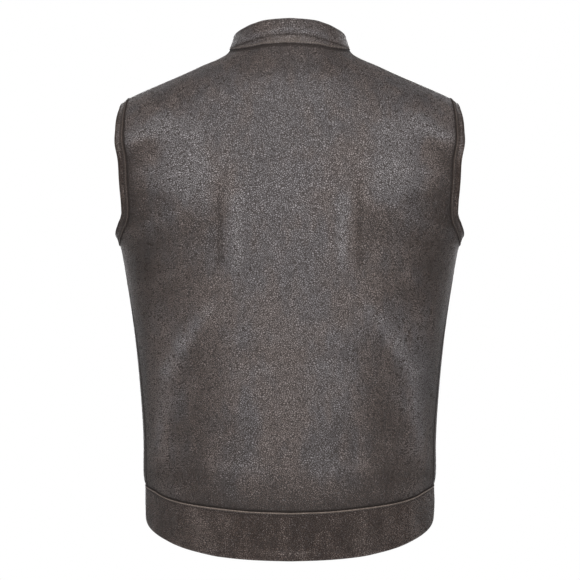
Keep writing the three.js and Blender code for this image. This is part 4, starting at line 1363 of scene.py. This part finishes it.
@dataclass
class Stitches:
    """Rows of separate lockstitches: each is a short bead of thread that dips at both ends."""

    length: float = 2.7
    pitch: float = 3.6
    radius: float = 0.34
    around: int = 6
    rings: int = 5

    def row(self, name: str, path: Array, out: Array, wardrobe: Wardrobe) -> bpy.types.Object:
        """Lays stitches along a path.

        Args:
            name: the piece's name.
            path: points along the row.
            out: outward normals at those points.
            wardrobe: the finishes.
        Returns:
            the row as one piece.
        """
        along = run_lengths(path[None], 1)[0]
        count = int((along[-1] - self.length) / self.pitch)
        start = (np.arange(count) + 0.3) * self.pitch
        u = np.linspace(0, 1, self.rings)
        at = start[:, None] + self.length * u
        centre, normal = resampled(path, along, at), resampled(out, along, at)
        tangent = np.gradient(centre, axis=1)
        tangent /= np.linalg.norm(tangent, axis=-1, keepdims=True)
        side = np.cross(tangent, normal)
        side /= np.linalg.norm(side, axis=-1, keepdims=True)
        girth = self.radius * np.sqrt(np.clip(1 - (2 * u - 1) ** 4, 0.02, 1))
        dip = -0.45 * (2 * u - 1) ** 4
        turn = np.arange(self.around) * 2 * math.pi / self.around
        ring = side[..., None, :] * np.cos(turn)[:, None] + normal[..., None, :] * np.sin(turn)[:, None]
        points = (centre + normal * dip[:, None])[..., None, :] + ring * girth[:, None, None]
        base = np.arange(count)[:, None, None] * self.rings * self.around
        r = np.arange(self.rings - 1)[None, :, None] * self.around
        k = np.arange(self.around)[None, None, :]
        after = (k + 1) % self.around
        low, high = base + r, base + r + self.around
        quads = np.stack([low + k, low + after, high + after, high + k], -1)
        fan = np.arange(self.around // 2 - 1)
        first = np.stack([fan, self.around - 1 - fan, self.around - 2 - fan, fan + 1], 1)
        last = first[:, ::-1] + (self.rings - 1) * self.around
        caps = base[:, 0, :, None] + np.concatenate([first, last])[None]
        faces = np.concatenate([quads.reshape(-1, 4), caps.reshape(-1, 4)])
        return wardrobe.dress(mesh_object(name, points.reshape(-1, 3), faces, {}), wardrobe.thread)


@dataclass
class Needlework:
    """All rows of stitching on the vest."""

    stitches: Stitches = field(default_factory=Stitches)
    band: HemBand = field(default_factory=HemBand)
    strip: ArmholeStrip = field(default_factory=ArmholeStrip)
    collar: Collar = field(default_factory=Collar)
    front_row: float = 7.0
    above: float = 0.1
    sunk: float = 0.15

    def band_rows(self, wardrobe: Wardrobe) -> None:
        """Rows in the band's groove, one for each stretch.

        Args:
            wardrobe: the finishes.
        """
        for key, (start, end) in self.band.stretches(0.0).items():
            angle = np.linspace(start, end, 300)
            down = np.full_like(angle, self.band.groove / self.band.nominal)
            path = self.band.point(angle, down, np.full_like(angle, self.band.proud - self.sunk))
            top, _ = self.band.lengths(angle)
            out = FORM.normal(angle, top, True)
            self.stitches.row("band_stitches_" + key.replace("front_", ""), path, out, wardrobe)

    def armhole_rows(self, wardrobe: Wardrobe) -> None:
        """A row in the groove of each armhole strip.

        Args:
            wardrobe: the finishes.
        """
        f = self.strip.frames()
        lift = self.strip.proud - self.above
        path = f["edge"] + f["across"] * (FORM.seam_gap + self.strip.groove) + f["out"] * lift
        flip = np.array([-1, 1, 1])
        self.stitches.row("armhole_stitches_left", path, f["out"], wardrobe)
        self.stitches.row("armhole_stitches_right", path * flip, f["out"] * flip, wardrobe)

    def collar_rows(self, wardrobe: Wardrobe) -> None:
        """A row below the collar's folded edge and one above its foot.

        Args:
            wardrobe: the finishes.
        """
        collar = self.collar
        s = collar.stations()
        height = s["height"]
        for key, up in (("top", height - collar.top_row), ("base", np.full_like(height, collar.base_row))):
            path = s["foot"] + s["up"] * up[:, None] + s["face"] * (collar.proud + self.above)
            self.stitches.row("collar_stitches_" + key, path, s["face"], wardrobe)

    def front_rows(self, wardrobe: Wardrobe) -> None:
        """A row down each front beside the zip.

        Args:
            wardrobe: the finishes.
        """
        z = np.linspace(FORM.hem_bottom(180.0) + 4, FORM.neck_seam(180.0) - 4, 400)
        angle = FORM.angle_at(FORM.front_edge + self.front_row, z, False)
        lift = np.where(z < FORM.hem_seam(180.0), self.band.proud + self.above, self.above)
        for key, sign in (("left", 1), ("right", -1)):
            path = FORM.lifted(sign * angle, z, lift)
            self.stitches.row("front_stitches_" + key, path, FORM.normal(sign * angle, z, True), wardrobe)

    def build(self, wardrobe: Wardrobe) -> None:
        """Makes every row.

        Args:
            wardrobe: the finishes.
        """
        for rows in (self.band_rows, self.armhole_rows, self.collar_rows, self.front_rows):
            rows(wardrobe)


@dataclass
class Zip:
    """The closed centre zip: two woven tapes and their meshed teeth."""

    tape_half_width: float = 18.0
    tape_thickness: float = 0.9
    bead_place: float = 3.4
    bead_height: float = 0.25
    depth: float = 3.3
    top_z: float = -83.0
    tooth_pitch: float = 2.6
    tooth_long: float = 1.15
    tooth_reach: float = 3.1
    tooth_high: float = 1.55

    def line(self, z: Array) -> tuple[Array, Array, Array]:
        """The zip's middle line and its frame: down the centre front of the plain form, sunk by its depth.

        Args:
            z: heights.
        Returns:
            points, unit vectors up the zip and unit vectors out of the garment.
        """
        angle = np.full_like(z, 180.0)
        point = FORM.plain(angle, z)
        up = FORM.plain(angle, z + 1) - FORM.plain(angle, z - 1)
        up /= np.linalg.norm(up, axis=1, keepdims=True)
        out = np.cross(up, np.array([1.0, 0, 0]))
        out *= np.where(out[:, 1:2] > 0, -1, 1)
        return point - out * self.depth, up, out

    def tape(self, wardrobe: Wardrobe, side: Side) -> None:
        """One woven tape, a thin wall beside the teeth with a bead along its edge.

        Args:
            wardrobe: the finishes.
            side: the wearer's left or right.
        """
        sign = 1 if side is Side.LEFT else -1
        z = np.linspace(FORM.hem_bottom(180.0) + 1, self.top_z, 220)
        centre, _, out = self.line(z)
        across = np.linspace(0.6, self.tape_half_width, 22)
        if side is Side.RIGHT:
            across = across[::-1]
        places = centre[:, None] + np.array([1.0, 0, 0]) * (sign * across)[None, :, None]
        half = self.tape_thickness / 2
        bead = self.bead_height * bell(across, self.bead_place, 0.5)
        run = run_lengths(centre[None], 1)[0][:, None] + 0 * across
        values = {"run": run[:, ::-1], "across": (across + 0 * run)[:, ::-1]}
        lift = (half + bead)[None, :, None] * out[:, None]
        front, rear = places + lift, places - half * out[:, None]
        piece = wall_object("zip_cloth_" + side.value, front[:, ::-1], rear[:, ::-1], values)
        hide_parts("zip_tape_" + side.value)
        wardrobe.dress(piece, wardrobe.tape)

    def teeth(self, wardrobe: Wardrobe, side: Side) -> None:
        """One row of teeth: each a block that narrows to a rounded head past the centre line.

        Args:
            wardrobe: the finishes.
            side: the wearer's left or right.
        """
        sign, offset = (1, 0.0) if side is Side.LEFT else (-1, 0.5)
        z = np.linspace(FORM.hem_bottom(180.0) + 4, self.top_z - 0.6, 900)
        line, up, out = self.line(z)
        along = run_lengths(line[None], 1)[0]
        count = int(along[-1] / self.tooth_pitch) - 1
        at = (np.arange(count) + 0.5 + offset) * self.tooth_pitch
        line, up, out = (resampled(path, along, at) for path in (line, up, out))
        ends = np.array([self.tooth_reach, 1.2, -0.2, -0.75])
        half_long = self.tooth_long / 2 * np.array([0.95, 1.0, 1.0, 0.6])
        half_high = self.tooth_high * np.array([0.92, 1.0, 0.8, 0.45])
        corner = np.array([[-1, -1], [1, -1], [1, 1], [-1, 1]])
        ring_u = half_long[:, None] * corner[:, 0]
        ring_o = half_high[:, None] * corner[:, 1]
        points = line[:, None, None] + np.array([1.0, 0, 0]) * (sign * ends)[None, :, None, None]
        points = points + up[:, None, None] * ring_u[None, ..., None]
        points = points + out[:, None, None] * ring_o[None, ..., None]
        base = np.arange(count)[:, None, None] * 16
        r, k = np.arange(3)[None, :, None] * 4, np.arange(4)[None, None, :]
        after = (k + 1) % 4
        low = base + r
        quads = np.stack([low + k, low + k + 4, low + after + 4, low + after], -1).reshape(-1, 4)
        caps = base[:, 0, :, None] + np.array([[0, 1, 2, 3], [15, 14, 13, 12]])[None]
        faces = np.concatenate([quads, caps.reshape(-1, 4)])
        if side is Side.RIGHT:
            faces = faces[:, ::-1]
        piece = mesh_object("zip_teeth_" + side.value, points.reshape(-1, 3), faces, {})
        piece.data.polygons.foreach_set("use_smooth", np.zeros(len(faces), bool))
        wardrobe.dress(piece, wardrobe.metal)

    def build(self, wardrobe: Wardrobe) -> None:
        """Makes both halves and gives the slider and its pull tab their metal.

        Args:
            wardrobe: the finishes.
        """
        for side in Side:
            self.tape(wardrobe, side)
            self.teeth(wardrobe, side)
        for name in ("zip_slider", "zip_pull_tab"):
            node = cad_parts[name]
            node.data.materials.clear()
            node.data.materials.append(wardrobe.metal)
            LOG.info("%s keeps its CAD shape", name)


@dataclass(frozen=True)
class Softbox:
    """A rectangular light that faces the middle of the vest. Lengths are in metres."""

    name: str
    place: tuple[float, ...]
    size: tuple[float, ...]
    watts: float
    colour: Colour = (1.0, 0.98, 0.985)
    target: tuple[float, ...] = (0, 0, -0.3)

    def build(self) -> None:
        """Hangs the light and turns it to its target."""
        data = bpy.data.lights.new(self.name, "AREA")
        data.shape, data.color, data.energy = "RECTANGLE", self.colour, self.watts
        data.size, data.size_y = self.size
        lamp = bpy.data.objects.new(self.name, data)
        lamp.location = self.place
        aim = np.array(self.target) - np.array(self.place)
        level = math.hypot(aim[0], aim[1])
        lamp.rotation_euler = (math.atan2(level, -aim[2]), 0, math.atan2(-aim[0], aim[1]))
        bpy.context.scene.collection.objects.link(lamp)


# The lights: name, place, width and height, watts.
SOFTBOXES = [
    ("softbox_left", (0.85, 2.3, 0.6), (1.5, 1.8), 56.5),
    ("front_softbox_left", (1.5, -1.9, 0.35), (1.6, 1.8), 13),
    ("softbox_right", (-0.85, 2.3, 0.6), (1.5, 1.8), 56.5),
    ("front_softbox_right", (-1.5, -1.9, 0.35), (1.6, 1.8), 13),
    ("front_fill", (0.0, -2.8, -0.2), (1.8, 1.8), 70),
    ("overhead", (0.0, 1.3, 1.7), (1.6, 0.8), 7),
]


@dataclass
class Studio:
    """Pale floor, soft lights and a level camera behind the vest."""

    camera_distance: float = 2.2
    camera_height: float = -0.32
    half_view: float = 10.0
    floor_z: float = -1.45
    floor_half: float = 1.25
    pale: Colour = (0.88, 0.88, 0.87, 1)
    sky: Colour = (0.95, 0.97, 1.0, 1)
    sky_strength: float = 0.19

    def floor(self) -> None:
        """A pale floor below the vest, out of the photograph's view."""
        h, z = self.floor_half / MM, self.floor_z / MM
        corners = np.array([[-h, -h, z], [h, -h, z], [h, h, z], [-h, h, z]])
        piece = mesh_object("studio_floor", corners, np.array([[0, 1, 2, 3]]), {})
        material = bpy.data.materials.new("studio_floor")
        Nodes(material).finish(self.pale, 0.8)
        piece.data.materials.append(material)

    def world(self) -> None:
        """A white surround that the camera sees as plain paper and that lights the leather softly."""
        world = bpy.data.worlds.new("studio")
        bpy.context.scene.world = world
        world.use_nodes = True
        tree = world.node_tree
        tree.nodes.clear()
        out = tree.nodes.new("ShaderNodeOutputWorld")
        seen, light = tree.nodes.new("ShaderNodeBackground"), tree.nodes.new("ShaderNodeBackground")
        seen.inputs[0].default_value = (1, 1, 1, 1)
        light.inputs[0].default_value = self.sky
        light.inputs[1].default_value = self.sky_strength
        path, mix = tree.nodes.new("ShaderNodeLightPath"), tree.nodes.new("ShaderNodeMixShader")
        tree.links.new(path.outputs["Is Camera Ray"], mix.inputs[0])
        tree.links.new(light.outputs[0], mix.inputs[1])
        tree.links.new(seen.outputs[0], mix.inputs[2])
        tree.links.new(mix.outputs[0], out.inputs[0])

    def camera(self) -> None:
        """The photograph's camera: level, behind the vest, looking along -Y."""
        data = bpy.data.cameras.new("photo_camera")
        data.sensor_width = 36
        data.lens = 18 / math.tan(self.half_view * RADIAN)
        data.shift_x = 0.25 / 580
        camera = bpy.data.objects.new("photo_camera", data)
        camera.location = (0, self.camera_distance, self.camera_height)
        camera.rotation_euler = (math.pi / 2, 0, math.pi)
        bpy.context.scene.collection.objects.link(camera)
        bpy.context.scene.camera = camera

    def build(self) -> None:
        """Sets up the whole studio."""
        self.floor()
        self.world()
        self.camera()
        for row in SOFTBOXES:
            Softbox(*row).build()
        bpy.context.scene.view_settings.view_transform = "Standard"


def main() -> None:
    """Builds the studio and every piece of the vest, in order."""
    logging.basicConfig(level=logging.INFO, format="%(name)s: %(message)s")
    Studio().build()
    wardrobe = Wardrobe()
    BackPanel().build(wardrobe)
    HemBand().build(wardrobe)
    Collar().build(wardrobe)
    for side in Side:
        FrontPanel().build(wardrobe, side)
        ArmholeStrip().build(wardrobe, side)
    Zip().build(wardrobe)
    Needlework().build(wardrobe)


if __name__ == "__main__":
    main()
